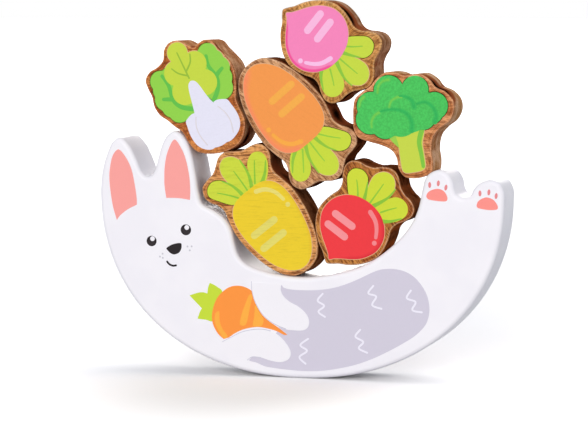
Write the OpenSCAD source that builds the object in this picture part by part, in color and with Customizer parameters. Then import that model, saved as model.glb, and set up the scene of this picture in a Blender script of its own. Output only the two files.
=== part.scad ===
// Stacking balance game: a white wooden rabbit that lies on its back like a rocker,
// with six vegetable blocks stacked in the curve between its ears and its feet.
// X runs to the right, Z up, and the printed fronts face -Y. The origin is on the
// table, under the middle of the rabbit.

/* [Rabbit] */
// Width of the rabbit from back of the head to sole
rabbit_w = 208; // [196:1:220]
// Thickness of the rabbit
rabbit_t = 28; // [22:1:40]
// Height of the rabbit's widest line above the table
rocker_h = 92; // [86:0.5:98]
// Height of the ear tips above the widest line
ear_h = 30.5; // [26:0.5:38]
// Height of the left foot's tip above the widest line
foot_h = 13.3; // [11:0.1:18]
// Height of the hollow that the first block lies in
seat_h = 50.5; // [45:0.5:54]
// Fullness of the rocker curve, 2 is an ellipse
rocker_fullness = 2.15; // [2:0.05:2.4]
// Radius of the rabbit's rounded edges
rabbit_edge = 2.2; // [0.8:0.1:3]

/* [Blocks] */
// Thickness of the vegetable blocks
block_t = 22; // [16:1:30]
// Radius of the blocks' rounded edges
block_edge = 1.2; // [0.4:0.1:1.8]
// Width of a carrot block over its leaves
carrot_w = 41.5; // [38.5:0.5:44.5]
// Length of a carrot block
carrot_h = 72.5; // [69.5:0.5:76]
// Width of a radish block over its leaves
radish_w = 42; // [39:0.5:45]
// Length of a radish block
radish_h = 58; // [55:0.5:61]
// Width of the bok choy block
bok_choy_w = 46.5; // [44:0.5:49.5]
// Length of the bok choy block
bok_choy_h = 62; // [59:0.5:65]
// Width of the broccoli block
broccoli_w = 52; // [49:0.5:55]
// Height of the broccoli block
broccoli_h = 54; // [51:0.5:57]

/* [Stack] */
// Turn of the yellow carrot, anticlockwise from upright
yellow_turn = 38; // [34:1:42]
// Turn of the red radish
red_turn = -36; // [-40:1:-32]
// Turn of the orange carrot
orange_turn = -140; // [-144:1:-136]
// Turn of the bok choy
bok_choy_turn = 26; // [22:1:30]
// Turn of the broccoli
broccoli_turn = 11; // [7:1:15]
// Turn of the pink radish
pink_turn = -129; // [-133:1:-125]
// Gap left where one piece rests on another
seat_gap = 0.1; // [0.05:0.05:0.3]

/* [Print] */
// Height of one layer of printed colour
ink_h = 0.1; // [0.05:0.05:0.3]
// Width of the light bars on the roots
bar_w = 3.6; // [2:0.2:4]
// Width of the light arcs on the roots
arc_w = 2.1; // [1:0.1:2.4]
// Width of the veins on the leaves
vein_w = 0.8; // [0.5:0.1:1.4]
// Width of the shaded sides of the leaves and florets at their wide end
shade_w = 2.2; // [1.4:0.1:3]
// Width of the wavy marks on the belly
mark_w = 1; // [0.6:0.1:1.6]
// Width of the lines round the rabbit's arms
arm_line_w = 0.5; // [0.3:0.1:0.9]
// Width of the rabbit's eyes
eye_w = 5.4; // [4:0.2:7]
// Width of the light spot in each eye
eye_light_w = 2.4; // [1.4:0.2:3]
// Width of the line of the rabbit's mouth
mouth_w = 0.8; // [0.5:0.1:1.2]
// Width of the dots on the rabbit's cheeks
cheek_dot_w = 1; // [0.6:0.1:1.6]

/* [Hidden] */

// Heights of the ear tips and of the left foot's tip above the table
ear_top_h = rocker_h + ear_h;
foot_top_h = rocker_h + foot_h;

// How far a printed field reaches into the wood below it
ink_root = 0.4;
// Width of the light dot on a root, as a share of the width of the arc above it
dot_share = 1.15;

// Points on the rocker curve, and points between two drawn points of an outline
rocker_points = 24;
rabbit_steps = 3;
block_steps = 2;

// Rounds of settling a block on its supports
settle_rounds = 5;
// Step by which a block is lifted where it would lie in another piece
lift_step = 1;

// Paint, ink and wood colours
white_paint = "#f6f5f7";
bare_wood = "#c48a55";
leaf_green = "#a9d636";
shade_green = "#7cc238";
side_leaf_green = "#79cf49";
side_shade_green = "#55b84b";
broccoli_green = "#37b75c";
broccoli_light = "#55cb63";
broccoli_dark = "#1fa850";
carrot_orange = "#f7943a";
carrot_bar = "#fbae45";
carrot_yellow = "#ecca1f";
yellow_bar = "#f1e07a";
radish_red = "#ee3038";
red_bar = "#f88f8a";
radish_pink = "#f472b6";
pink_bar = "#fbb5da";
stalk_white = "#f1f0f8";
stalk_line = "#d9d5da";
ear_pink = "#fba69f";
pad_pink = "#f98f8b";
belly_lilac = "#d5cfde";
arm_line_grey = "#d0cfdc";
face_black = "#35323a";

// Outline tools, for lists of [x, z] points that run anticlockwise

function turned(points, angle) = [for (p = points)
    [p.x * cos(angle) - p.y * sin(angle), p.x * sin(angle) + p.y * cos(angle)]];

function moved(points, by) = [for (p = points) p + by];

function stretched(points, by) = [for (p = points) [p.x * by.x, p.y * by.y]];

function span(points, axis) = max([for (p = points) p[axis]]) - min([for (p = points) p[axis]]);

// A point on the smooth curve from b to c, where a and d are their neighbours
function curve_point(a, b, c, d, t) = 0.5 * (2 * b + (c - a) * t + (2 * a - 5 * b + 4 * c - d) * t * t
    + (3 * b - a - 3 * c + d) * t * t * t);

function among(i, list) = len([for (k = list) if (k == i) k]) > 0;

// A smooth closed curve through the points, sharp at the corners that are named by their place
function smooth_loop(points, steps, corners = []) = let (n = len(points)) [
    for (i = [0 : n - 1], s = [0 : steps - 1])
        let (j = (i + 1) % n)
        curve_point(points[among(i, corners) ? i : (i + n - 1) % n], points[i], points[j],
            points[among(j, corners) ? j : (i + 2) % n], s / steps)];

// A smooth open curve through the points
function smooth_line(points, steps) = let (n = len(points)) concat(
    [for (i = [0 : n - 2], s = [0 : steps - 1])
        curve_point(points[max(i - 1, 0)], points[i], points[i + 1], points[min(i + 2, n - 1)], s / steps)],
    [points[n - 1]]);

// The full outline of a shape whose right half runs from its foot to its top
function mirrored(half) = concat(half, [for (i = [len(half) - 2 : -1 : 1]) [-half[i].x, half[i].y]]);

// The outline pulled in by a distance, at right angles to its edges
function inset(points, by) = let (n = len(points)) [
    for (i = [0 : n - 1])
        let (run = points[(i + 1) % n] - points[(i + n - 1) % n])
        points[i] + by * [-run.y, run.x] / norm(run)];

// Cap triangles of an outline, cut off ear by ear
function side_of(a, b, c) = (b.x - a.x) * (c.y - a.y) - (b.y - a.y) * (c.x - a.x);

function holds(a, b, c, p) = side_of(a, b, p) >= 0 && side_of(b, c, p) >= 0 && side_of(c, a, p) >= 0;

function is_ear(points, ring, i) =
    let (n = len(ring), ia = ring[(i + n - 1) % n], ib = ring[i], ic = ring[(i + 1) % n],
        a = points[ia], b = points[ib], c = points[ic])
    side_of(a, b, c) > 0
    && len([for (k = ring) if (k != ia && k != ib && k != ic && holds(a, b, c, points[k])) k]) == 0;

function next_ear(points, ring, i, tries = 0) =
    tries >= len(ring) || is_ear(points, ring, i % len(ring)) ? i % len(ring)
    : next_ear(points, ring, i + 1, tries + 1);

function cap_triangles(points, ring, from = 0, cut = []) =
    len(ring) < 3 ? cut
    : let (n = len(ring), i = next_ear(points, ring, from))
    cap_triangles(points, [for (k = [0 : n - 1]) if (k != i) ring[k]], i + 1,
        concat(cut, [[ring[(i + n - 1) % n], ring[i], ring[(i + 1) % n]]]));

// A flat plate of the outline with rounded front and back edges
module plate(points, thickness, edge) {
    n = len(points);
    half = thickness / 2;
    quarter = [for (a = [90, 45, 0]) [edge * (1 - cos(a)), half - edge * (1 - sin(a))]];
    profile = concat([for (q = quarter) [q.x, -q.y]], [for (i = [2 : -1 : 0]) quarter[i]]);
    rings = len(profile);
    corners = [for (q = profile) each [for (p = inset(points, q.x)) [p.x, q.y, p.y]]];
    cap = cap_triangles(inset(points, edge), [for (i = [0 : n - 1]) i]);
    sides = [for (r = [0 : rings - 2], i = [0 : n - 1])
        let (a = r * n + i, b = r * n + (i + 1) % n, c = b + n, d = a + n)
        each [[a, b, d], [b, c, d]]];
    back = (rings - 1) * n;
    polyhedron(points = corners, faces = concat(
        [for (t = cap) [t[2], t[1], t[0]]], sides, [for (t = cap) [back, back, back] + t]));
}

// A field of printed colour on the front of a plate, as one or more joined outlines
module print_field(outlines, thickness, layer = 1) {
    translate([0, ink_root - thickness / 2, 0])
        rotate([90, 0, 0])
            linear_extrude(ink_root + layer * ink_h)
                for (points = outlines) polygon(points);
}

// Simple print shapes

function disc(at, r, n = 12) = [for (i = [0 : n - 1]) at + r * [cos(360 * i / n), sin(360 * i / n)]];

function oval(at, size, lean = 0, n = 12) = moved(turned(
    [for (i = [0 : n - 1]) [size.x / 2 * cos(360 * i / n), size.y / 2 * sin(360 * i / n)]], lean), at);

// A straight bar with round ends
function bar(from, to, width) =
    let (r = width / 2, along = (to - from) / norm(to - from), lean = atan2(along.y, along.x))
    [for (end = [[to - r * along, -90], [from + r * along, 90]], a = [0 : 45 : 180])
        end[0] + r * [cos(lean + end[1] + a), sin(lean + end[1] + a)]];

// A smooth line of print along open points, as wide as the shares of its width at its two ends
function stroke(points, width, shares = [1, 1], steps = 2) =
    let (line = smooth_line(points, steps), last = len(line) - 1, side = [for (i = [0 : last])
        let (run = line[min(i + 1, last)] - line[max(i - 1, 0)])
        width / 2 * (shares[0] + (shares[1] - shares[0]) * i / last) * [-run.y, run.x] / norm(run)])
    concat([for (i = [0 : last]) line[i] - side[i]], [for (i = [last : -1 : 0]) line[i] + side[i]]);

// Outlines of the wood

// Carrot, right half from the tip of the root to the middle leaf
carrot_half = [[0, -37], [4, -36.5], [8, -34.6], [12, -30], [15.2, -23], [17.4, -15], [18.5, -7],
    [18.5, 0], [17.3, 6.5], [16.1, 11.5], [17, 15.5], [19.4, 19.5], [20.1, 23.5], [18, 27.7],
    [14, 29.2], [9.5, 30], [6, 32.2], [3, 34.4], [0, 35]];
// Radish, right half from the tip of the root to the middle leaf
radish_half = [[0, -29.4], [2.5, -28], [5, -26], [9, -23.7], [13, -20.4], [16.6, -16], [18.7, -11],
    [18.8, -6], [17.7, -1], [16.2, 3.3], [16.8, 7], [19, 10.5], [20.5, 14.5], [19.4, 18.3], [16, 20.5],
    [12, 21.2], [8.5, 22.5], [5.5, 25], [2.5, 26.9], [0, 27.3]];
// Bok choy, from the foot of the stalk round the leaves
bok_choy_loop = [[2, -31], [8.5, -30.4], [13.5, -26.8], [16.6, -21], [16.9, -15], [17.2, -10],
    [19.5, -5], [22, 1], [22.8, 7], [21.3, 12.5], [19.6, 17], [18.4, 21.3], [15, 23.8], [11, 23.5],
    [8.2, 22.6], [5.8, 25.5], [2.5, 29.4], [-2, 30.5], [-6.2, 28.4], [-9, 24], [-13, 22.2],
    [-18, 21.7], [-21.8, 18.8], [-22.4, 14], [-22.3, 10], [-23.4, 5], [-22.6, 0], [-20.2, -4],
    [-18, -8.5], [-15.6, -12.5], [-15, -18], [-13.6, -23.5], [-9.5, -27.3], [-4, -29.8]];
// Broccoli, from the foot of the stem round the head
broccoli_loop = [[0, -29], [5, -29], [8.9, -27.3], [10.4, -22.5], [10.8, -16.5], [13, -11],
    [17, -7.6], [22, -5], [25.2, -0.5], [25.4, 4.5], [22.6, 9], [18.4, 12], [16.2, 16], [12.5, 19.4],
    [8, 20.2], [4, 20.4], [0.5, 22.4], [-4.5, 23.5], [-9, 21.7], [-13, 18.5], [-17.5, 16.4],
    [-21.6, 13.8], [-23.4, 9.5], [-24.5, 4], [-25, -0.5], [-23.4, -5], [-18.5, -7.9], [-13, -10.6],
    [-8.6, -13.8], [-6.8, -18], [-6.8, -23], [-4.6, -27.4]];

// How far a drawn outline is stretched to its real width and height
function fit_of(points, w, h) = [w / span(points, 0), h / span(points, 1)];

carrot_drawn = smooth_loop(mirrored(carrot_half), block_steps);
radish_drawn = smooth_loop(mirrored(radish_half), block_steps);
bok_choy_drawn = smooth_loop(bok_choy_loop, block_steps);
broccoli_drawn = smooth_loop(broccoli_loop, block_steps);

carrot_fit = fit_of(carrot_drawn, carrot_w, carrot_h);
radish_fit = fit_of(radish_drawn, radish_w, radish_h);
bok_choy_fit = fit_of(bok_choy_drawn, bok_choy_w, bok_choy_h);
broccoli_fit = fit_of(broccoli_drawn, broccoli_w, broccoli_h);

carrot_outline = stretched(carrot_drawn, carrot_fit);
radish_outline = stretched(radish_drawn, radish_fit);
bok_choy_outline = stretched(bok_choy_drawn, bok_choy_fit);
broccoli_outline = stretched(broccoli_drawn, broccoli_fit);

// The rocker curve under the rabbit, from the back of its head to its soles
function rocker_side(c, size) = sign(c) * size * pow(abs(c), 2 / rocker_fullness);
rocker_curve = [for (i = [1 : rocker_points - 1])
    let (a = 180 + 180 * i / rocker_points)
    [rocker_side(cos(a), rabbit_w / 2), rocker_h + rocker_side(sin(a), rocker_h)]];
// The top of the rabbit from its soles over the seat to its ears
rabbit_top_drawn = [[104, rocker_h], [103.2, foot_top_h - 9], [101, foot_top_h - 5.7],
    [96.5, foot_top_h - 4.5], [91.5, foot_top_h - 6.2], [88.7, foot_top_h - 9], [86.8, foot_top_h - 12.4],
    [83.5, foot_top_h - 13.4], [80.4, foot_top_h - 12.2], [79.1, foot_top_h - 9.4],
    [78.3, foot_top_h - 5.8], [76, foot_top_h - 2], [72, foot_top_h], [67.5, foot_top_h - 1.3],
    [64.4, foot_top_h - 4.5], [62.9, foot_top_h - 10.5], [61.2, foot_top_h - 18.5],
    [58.3, seat_h + 29.3], [53.5, seat_h + 22.3], [47, seat_h + 16], [39.5, seat_h + 10.3],
    [31, seat_h + 5.8], [21, seat_h + 2.8], [10, seat_h + 0.7], [0, seat_h], [-10, seat_h + 0.9],
    [-20, seat_h + 3.2], [-27, seat_h + 6], [-31, seat_h + 9.9], [-33.2, seat_h + 15.6],
    [-35.2, seat_h + 23.1], [-38.7, seat_h + 28.5], [-44, seat_h + 32.3], [-50, ear_top_h - 36.5],
    [-52.1, ear_top_h - 30.5], [-53.4, ear_top_h - 21.5], [-55.4, ear_top_h - 12.5],
    [-59, ear_top_h - 4.2], [-63.8, ear_top_h], [-68.4, ear_top_h - 2.4], [-71.4, ear_top_h - 7.5],
    [-73.4, ear_top_h - 14.5], [-75.4, ear_top_h - 21], [-78.8, ear_top_h - 23.2],
    [-82, ear_top_h - 20.6], [-84.8, ear_top_h - 14.5], [-88.2, ear_top_h - 8], [-93, ear_top_h - 3.7],
    [-97.6, ear_top_h - 6], [-100.7, ear_top_h - 12.5], [-102.9, ear_top_h - 20],
    [-104, rocker_h]];
rabbit_fit = [rabbit_w / span(rabbit_top_drawn, 0), 1];
rabbit_outline = smooth_loop(
    concat(rocker_curve, stretched(rabbit_top_drawn, rabbit_fit)), rabbit_steps);

// Letting the blocks down

// How far a point lies above an edge
function height_over(p, edge) =
    p.y - edge[0].y - (edge[1].y - edge[0].y) * (p.x - edge[0].x) / (edge[1].x - edge[0].x);

// The gaps between a block and an open run of support points, measured straight down
function gaps_below(block, support) =
    let (n = len(block), m = len(support),
        under = [for (i = [0 : n - 1]) let (next = block[(i + 1) % n])
            if (next.x > block[i].x) [block[i], next]],
        above = [for (i = [0 : m - 2])
            if (support[i + 1].x < support[i].x) [support[i + 1], support[i]]])
    concat(
        [for (u = under, p = u, a = above) if (p.x >= a[0].x && p.x <= a[1].x) height_over(p, a)],
        [for (a = above, p = a, u = under) if (p.x >= u[0].x && p.x <= u[1].x) -height_over(p, u)]);

// The gaps between a block and the pieces along a direction, less than nothing
// where the block is past them
function gaps_along(block, at, pieces, direction) =
    let (frame = -90 - direction, lowered = turned(moved(block, at), frame))
    [for (p = pieces) each gaps_below(lowered, turned(p, frame))];

// A block pushed onto a support, as [outlines, direction], up to the gap it keeps there
function pushed(block, at, support) =
    let (gaps = gaps_along(block, at, support[0], support[1]))
    at + (len(gaps) == 0 ? 0 : min(gaps) - seat_gap) * [cos(support[1]), sin(support[1])];

// A block pushed onto two supports in turn
function settled(block, at, supports, rounds = settle_rounds) =
    rounds <= 0 ? at
    : settled(block, pushed(block, pushed(block, at, supports[0]), supports[1]), supports, rounds - 1);

function inside(point, loop) = let (n = len(loop)) len([for (i = [0 : n - 1])
    let (a = loop[i], b = loop[(i + 1) % n])
    if ((a.y > point.y) != (b.y > point.y)
        && point.x < a.x + (b.x - a.x) * (point.y - a.y) / (b.y - a.y)) i]) % 2 == 1;

function overlap(loop, piece) =
    len([for (p = loop) if (inside(p, piece)) p]) + len([for (p = piece) if (inside(p, loop)) p]) > 0;

// A block lifted out of the pieces that it would lie in, and let down again
function lifted(block, at, pieces, by = 0) =
    len([for (p = pieces) if (overlap(moved(block, at), p)) p]) > 0
    ? lifted(block, at + [0, lift_step], pieces, by + lift_step)
    : by == 0 ? at : at - [0, min([for (g = gaps_along(block, at, pieces, 270)) if (g > 0) g]) - seat_gap];

function stacked(block, at, supports, pieces) = lifted(block, settled(block, at, supports), pieces);

// The outline of a block where it lies
function placed(points, at, turn) =
    let (loop = moved(turned(points, turn), at)) concat(loop, [loop[0]]);

// The top of the rabbit, whole and in the stretches that blocks lie against
rabbit_top = [for (i = [len(rocker_curve) * rabbit_steps : len(rabbit_outline) - 1])
    rabbit_outline[i]];
function top_stretch(from, to) = [for (p = rabbit_top)
    if (p.x > from * rabbit_fit.x && p.x < to * rabbit_fit.x) p];
neck = top_stretch(-56, -25);
hollow = top_stretch(-22, 35);
thigh = top_stretch(20, 62);
right_ear = top_stretch(-74, -50);
left_foot = top_stretch(62, 80);

yellow_at = stacked(turned(carrot_outline, yellow_turn), [-18 * rabbit_fit.x, seat_h + 32],
    [[[neck], 215], [[hollow], 280]], [rabbit_outline]);
yellow_placed = placed(carrot_outline, yellow_at, yellow_turn);
red_at = stacked(turned(radish_outline, red_turn), [33 * rabbit_fit.x, seat_h + 33],
    [[[yellow_placed], 185], [[thigh], 300]], [rabbit_outline, yellow_placed]);
red_placed = placed(radish_outline, red_at, red_turn);
orange_at = stacked(turned(carrot_outline, orange_turn), yellow_at + [15, 44],
    [[[yellow_placed], 250], [[red_placed], 290]], [rabbit_outline, yellow_placed, red_placed]);
orange_placed = placed(carrot_outline, orange_at, orange_turn);
bok_choy_at = stacked(turned(bok_choy_outline, bok_choy_turn), yellow_at + [-34, 57],
    [[[right_ear], 215], [[yellow_placed, orange_placed], 310]],
    [rabbit_outline, yellow_placed, red_placed, orange_placed]);
bok_choy_placed = placed(bok_choy_outline, bok_choy_at, bok_choy_turn);
broccoli_at = stacked(turned(broccoli_outline, broccoli_turn), red_at + [20, 47],
    [[[red_placed, orange_placed], 215], [[left_foot], 290]],
    [rabbit_outline, yellow_placed, red_placed, orange_placed, bok_choy_placed]);
broccoli_placed = placed(broccoli_outline, broccoli_at, broccoli_turn);
pink_at = stacked(turned(radish_outline, pink_turn), orange_at + [18, 38],
    [[[orange_placed], 235], [[broccoli_placed], 300]],
    [rabbit_outline, yellow_placed, red_placed, orange_placed, bok_choy_placed, broccoli_placed]);

module stand(at, turn) {
    translate([at.x, 0, at.y]) rotate([0, -turn, 0]) children();
}

// Pieces

// Print of a root vegetable: three leaves with shaded sides and veins, the root, and its shine
module root_block(outline, fit, leaves, shades, veins, root_half, bars, shine, dot_at,
        root_colour, bar_colour) {
    lights = concat([for (b = bars) bar(b[0], b[1], bar_w)],
        [stroke(shine, arc_w, [1.1, 0.8]), disc(dot_at, arc_w * dot_share / 2, 8)]);
    color(bare_wood) plate(outline, block_t, block_edge);
    color(leaf_green)
        print_field([for (l = leaves) stretched(smooth_loop(l, 2), fit)], block_t);
    color(shade_green)
        print_field([for (l = shades) stretched(stroke(l, shade_w, [0.25, 1]), fit)], block_t, 2);
    color(shade_green)
        print_field([for (l = veins) stretched(stroke(l, vein_w, [0.6, 1.2]), fit)], block_t, 2);
    color(root_colour)
        print_field([stretched(smooth_loop(mirrored(root_half), 1), fit)], block_t, 3);
    color(bar_colour) print_field([for (l = lights) stretched(l, fit)], block_t, 4);
}

module carrot_block(root_colour, bar_colour) {
    leaves = [[[-3.5, 10], [-4.2, 14], [-6, 21], [-8.5, 25], [-12.5, 26.8], [-16.3, 25.3],
            [-17.7, 21.8], [-15, 17], [-10, 11]],
        [[5.5, 10], [9, 11], [13, 15], [16.5, 19], [17, 23], [14.4, 26], [11, 25.3], [8, 22], [6, 17]],
        [[3, 10], [3.4, 16], [4.8, 22], [4.8, 27.5], [2.8, 31], [-0.4, 32.4], [-3.8, 31], [-5.8, 27.2],
            [-5.8, 22], [-4.8, 16], [-3.8, 10]]];
    shades = [[[-7.8, 24], [-5.4, 20], [-4, 15.5], [-3.4, 11]], [[4.9, 25], [4.2, 18], [1.6, 10.8]],
        [[16, 18.5], [12.4, 14.2], [8, 11]]];
    veins = [[[-13.2, 20.8], [-9.2, 16.4], [-5.6, 11.6]], [[0, 24.3], [0, 18], [-0.2, 11.6]],
        [[11.6, 22], [8.6, 18], [5, 13]]];
    root_half = [[0, -34.8], [4, -33.8], [8, -30.6], [11.6, -25], [13.9, -18], [15.3, -10], [15.8, -3],
        [15.2, 3], [13.2, 7.8], [9.6, 11], [5.4, 12.2], [0, 12.4]];
    bars = [[[-12.7, -7.3], [3.7, -7.2]], [[-12.7, -15.3], [3.5, -15.1]]];
    shine = [[3, 9.4], [7.4, 7.4], [10.6, 3.2], [11.8, -2]];
    root_block(carrot_outline, carrot_fit, leaves, shades, veins, root_half, bars, shine, [12, -5.4],
        root_colour, bar_colour);
}

module radish_block(root_colour, bar_colour) {
    leaves = [[[-3, 5], [-4, 9], [-5.8, 13.5], [-8, 17], [-12, 18.2], [-15.9, 16.2], [-16.7, 12.2],
            [-14, 8], [-9.5, 4]],
        [[6, 5], [10.5, 4], [15, 8], [17.3, 12.2], [17, 16], [14, 18.5], [11, 17.8], [8.7, 15],
            [7, 11]],
        [[3, 5], [4.4, 10], [6.3, 16], [6, 20], [3.6, 23.6], [0.2, 24.8], [-3.2, 23.7], [-5.6, 20.4],
            [-5.8, 16.5], [-4.4, 11], [-3, 5]]];
    shades = [[[-6.6, 15], [-4.4, 10.5], [-2.6, 6]], [[6.4, 18], [5, 12], [3, 6]],
        [[17, 10.8], [13.6, 6.6], [10.5, 4.2]]];
    veins = [[[-11.6, 12.6], [-8.8, 9.6], [-6.4, 6.4]], [[0.2, 19], [0.2, 13], [0.2, 7]],
        [[12, 13.6], [9.6, 10.6], [7.2, 7.2]]];
    root_half = [[0, -26.8], [2, -24.9], [5, -22.7], [9, -20], [13, -16.4], [15.9, -11.5], [16.7, -7],
        [15.7, -2], [12.6, 2.6], [8.2, 5.8], [4, 7.1], [0, 7.5]];
    bars = [[[-12.2, -7], [1.6, -6.9]], [[-12.2, -13.3], [1.6, -13.3]]];
    shine = [[3, 4.1], [7.4, 2.2], [10.4, -0.8], [12.4, -4.2]];
    root_block(radish_outline, radish_fit, leaves, shades, veins, root_half, bars, shine, [13.4, -6.8],
        root_colour, bar_colour);
}

module yellow_carrot_block() {
    stand(yellow_at, yellow_turn) carrot_block(carrot_yellow, yellow_bar);
}

module orange_carrot_block() {
    stand(orange_at, orange_turn) carrot_block(carrot_orange, carrot_bar);
}

module red_radish_block() {
    stand(red_at, red_turn) radish_block(radish_red, red_bar);
}

module pink_radish_block() {
    stand(pink_at, pink_turn) radish_block(radish_pink, pink_bar);
}

// Bok choy: two side leaves, the front leaf, and the white stalk between two petals
module bok_choy_block() {
    side_leaves = [disc([-14.6, 14.9], 5.4), disc([-15.8, 5.6], 5.9), disc([-12, -2.6], 5.8),
        disc([-8, -3.8], 4.6), disc([13.8, 16.8], 5.2), disc([16, 8], 5.8), disc([13, -1.6], 5.9),
        disc([9.4, -3.2], 4.4), disc([-8, 12], 8), disc([8, 12], 8)];
    leaf_shades = [[[-12.6, 17], [-11.6, 11], [-12.6, 4], [-10.4, -1], [-5.4, -4.6]],
        [[12.6, 16], [11.6, 11], [13, 4], [10.8, -1.4], [6.4, -5.6]]];
    front_leaf = [disc([-0.3, 23.8], 5.3), disc([-5.3, 15], 6.3), disc([5.5, 15.2], 6.3),
        disc([-5.2, 4.8], 6.6), disc([6.2, 4.6], 6.5), disc([0, 12], 7)];
    veins = [[[-0.4, 24], [-0.3, 17], [-0.2, 10]], [[-6.4, 18], [-4.2, 14.4], [-0.4, 11.4]],
        [[5.4, 20.4], [3.8, 16.8], [0.2, 13.8]]];
    petals = [[[-10.6, -8.2], [-11.8, -12], [-12.1, -17], [-11, -22], [-8, -25.4], [-4, -25.6],
            [-4, -8]],
        [[12.2, -7.4], [5, -7.2], [5, -26], [10.6, -25], [13.8, -21.8], [14.8, -17], [13.9, -11]]];
    petal_lines = [[[-5.5, -9], [-7.4, -13.4], [-7.6, -18.4], [-6.2, -24]],
        [[7.2, -9], [9.3, -13.4], [10, -18.4], [8.8, -24]]];
    stalk = [[0, 8.3], [-1.9, 7.2], [-3.1, 4], [-4.3, -2], [-5.6, -8], [-7.2, -15], [-7.4, -20],
        [-5.6, -25.6], [0.6, -27.4], [7, -25.4], [8.6, -20], [8.2, -15], [6.4, -8], [4.4, -2], [3.2, 4],
        [2, 7.2]];
    stand(bok_choy_at, bok_choy_turn) {
        color(bare_wood) plate(bok_choy_outline, block_t, block_edge);
        color(side_leaf_green) print_field([for (d = side_leaves) stretched(d, bok_choy_fit)], block_t);
        color(side_shade_green)
            print_field([for (l = leaf_shades) stretched(stroke(l, shade_w, [0.7, 1]), bok_choy_fit)],
                block_t, 2);
        color(leaf_green) print_field([for (d = front_leaf) stretched(d, bok_choy_fit)], block_t, 3);
        color(stalk_white)
            print_field([for (l = petals) stretched(smooth_loop(l, 1), bok_choy_fit)], block_t, 2);
        color(stalk_line)
            print_field([for (l = petal_lines) stretched(stroke(l, vein_w), bok_choy_fit)], block_t, 3);
        color(shade_green)
            print_field([for (l = veins) stretched(stroke(l, vein_w), bok_choy_fit)], block_t, 4);
        color(stalk_white) print_field([stretched(smooth_loop(stalk, 1), bok_choy_fit)], block_t, 4);
    }
}

// Broccoli: a head of round florets on a short stem with one small branch
module broccoli_block() {
    stem = [[-4.5, -6], [-4.4, -12], [-4.8, -18], [-4.8, -23.6], [-3.4, -25.6], [0, -26], [4.6, -25.8],
        [6.6, -24], [7, -18], [7.2, -13], [9, -6], [2, -3]];
    branch = [[-8.8, -6.4], [-7.2, -9.8], [-4.2, -13.8], [-4, -6.4]];
    stem_shade = [[8.2, -6.6], [5.8, -12], [5.7, -18], [5.6, -24]];
    florets = [disc([-4.4, 14.6], 7.3), disc([8.4, 12.7], 6.6), disc([16.2, 3.4], 6.6),
        disc([9.8, -0.7], 6.3), disc([-1, 0.2], 8.6), disc([-9, -1], 7), disc([-15.8, 2.6], 7.1),
        disc([-14.4, 8.8], 6.9), disc([3, 8], 8)];
    lights = [[[-11.4, 12.6], [-10.6, 16.6], [-7.4, 20], [-3.4, 20.8]],
        [[-5.6, 6.4], [-3.8, 9.2], [0.6, 10.8]],
        [[-16.4, 0], [-15, 3], [-11.6, 5.6]], [[-20, 6], [-18.6, 10], [-15, 13.4]]];
    darks = [[[3, 17.6], [3.2, 15], [4.8, 12.4]], [[4.2, 8], [5, 3], [4.6, -4.6]],
        [[14.6, 10.4], [15.4, 6], [15.8, 0], [14.2, -5]], [[21.4, 6], [21.6, 1], [19.2, -2.4]]];
    stand(broccoli_at, broccoli_turn) {
        color(bare_wood) plate(broccoli_outline, block_t, block_edge);
        color(side_leaf_green) print_field([stretched(branch, broccoli_fit)], block_t);
        color(leaf_green) print_field([stretched(smooth_loop(stem, 1), broccoli_fit)], block_t);
        color(shade_green) print_field([stretched(stroke(stem_shade, shade_w), broccoli_fit)], block_t, 2);
        color(broccoli_green) print_field([for (d = florets) stretched(d, broccoli_fit)], block_t, 3);
        color(broccoli_light)
            print_field([for (l = lights) stretched(stroke(l, arc_w, [0.7, 0.7]), broccoli_fit)],
                block_t, 4);
        color(broccoli_dark)
            print_field([for (l = darks) stretched(stroke(l, shade_w, [0.6, 1]), broccoli_fit)],
                block_t, 4);
    }
}

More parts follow.
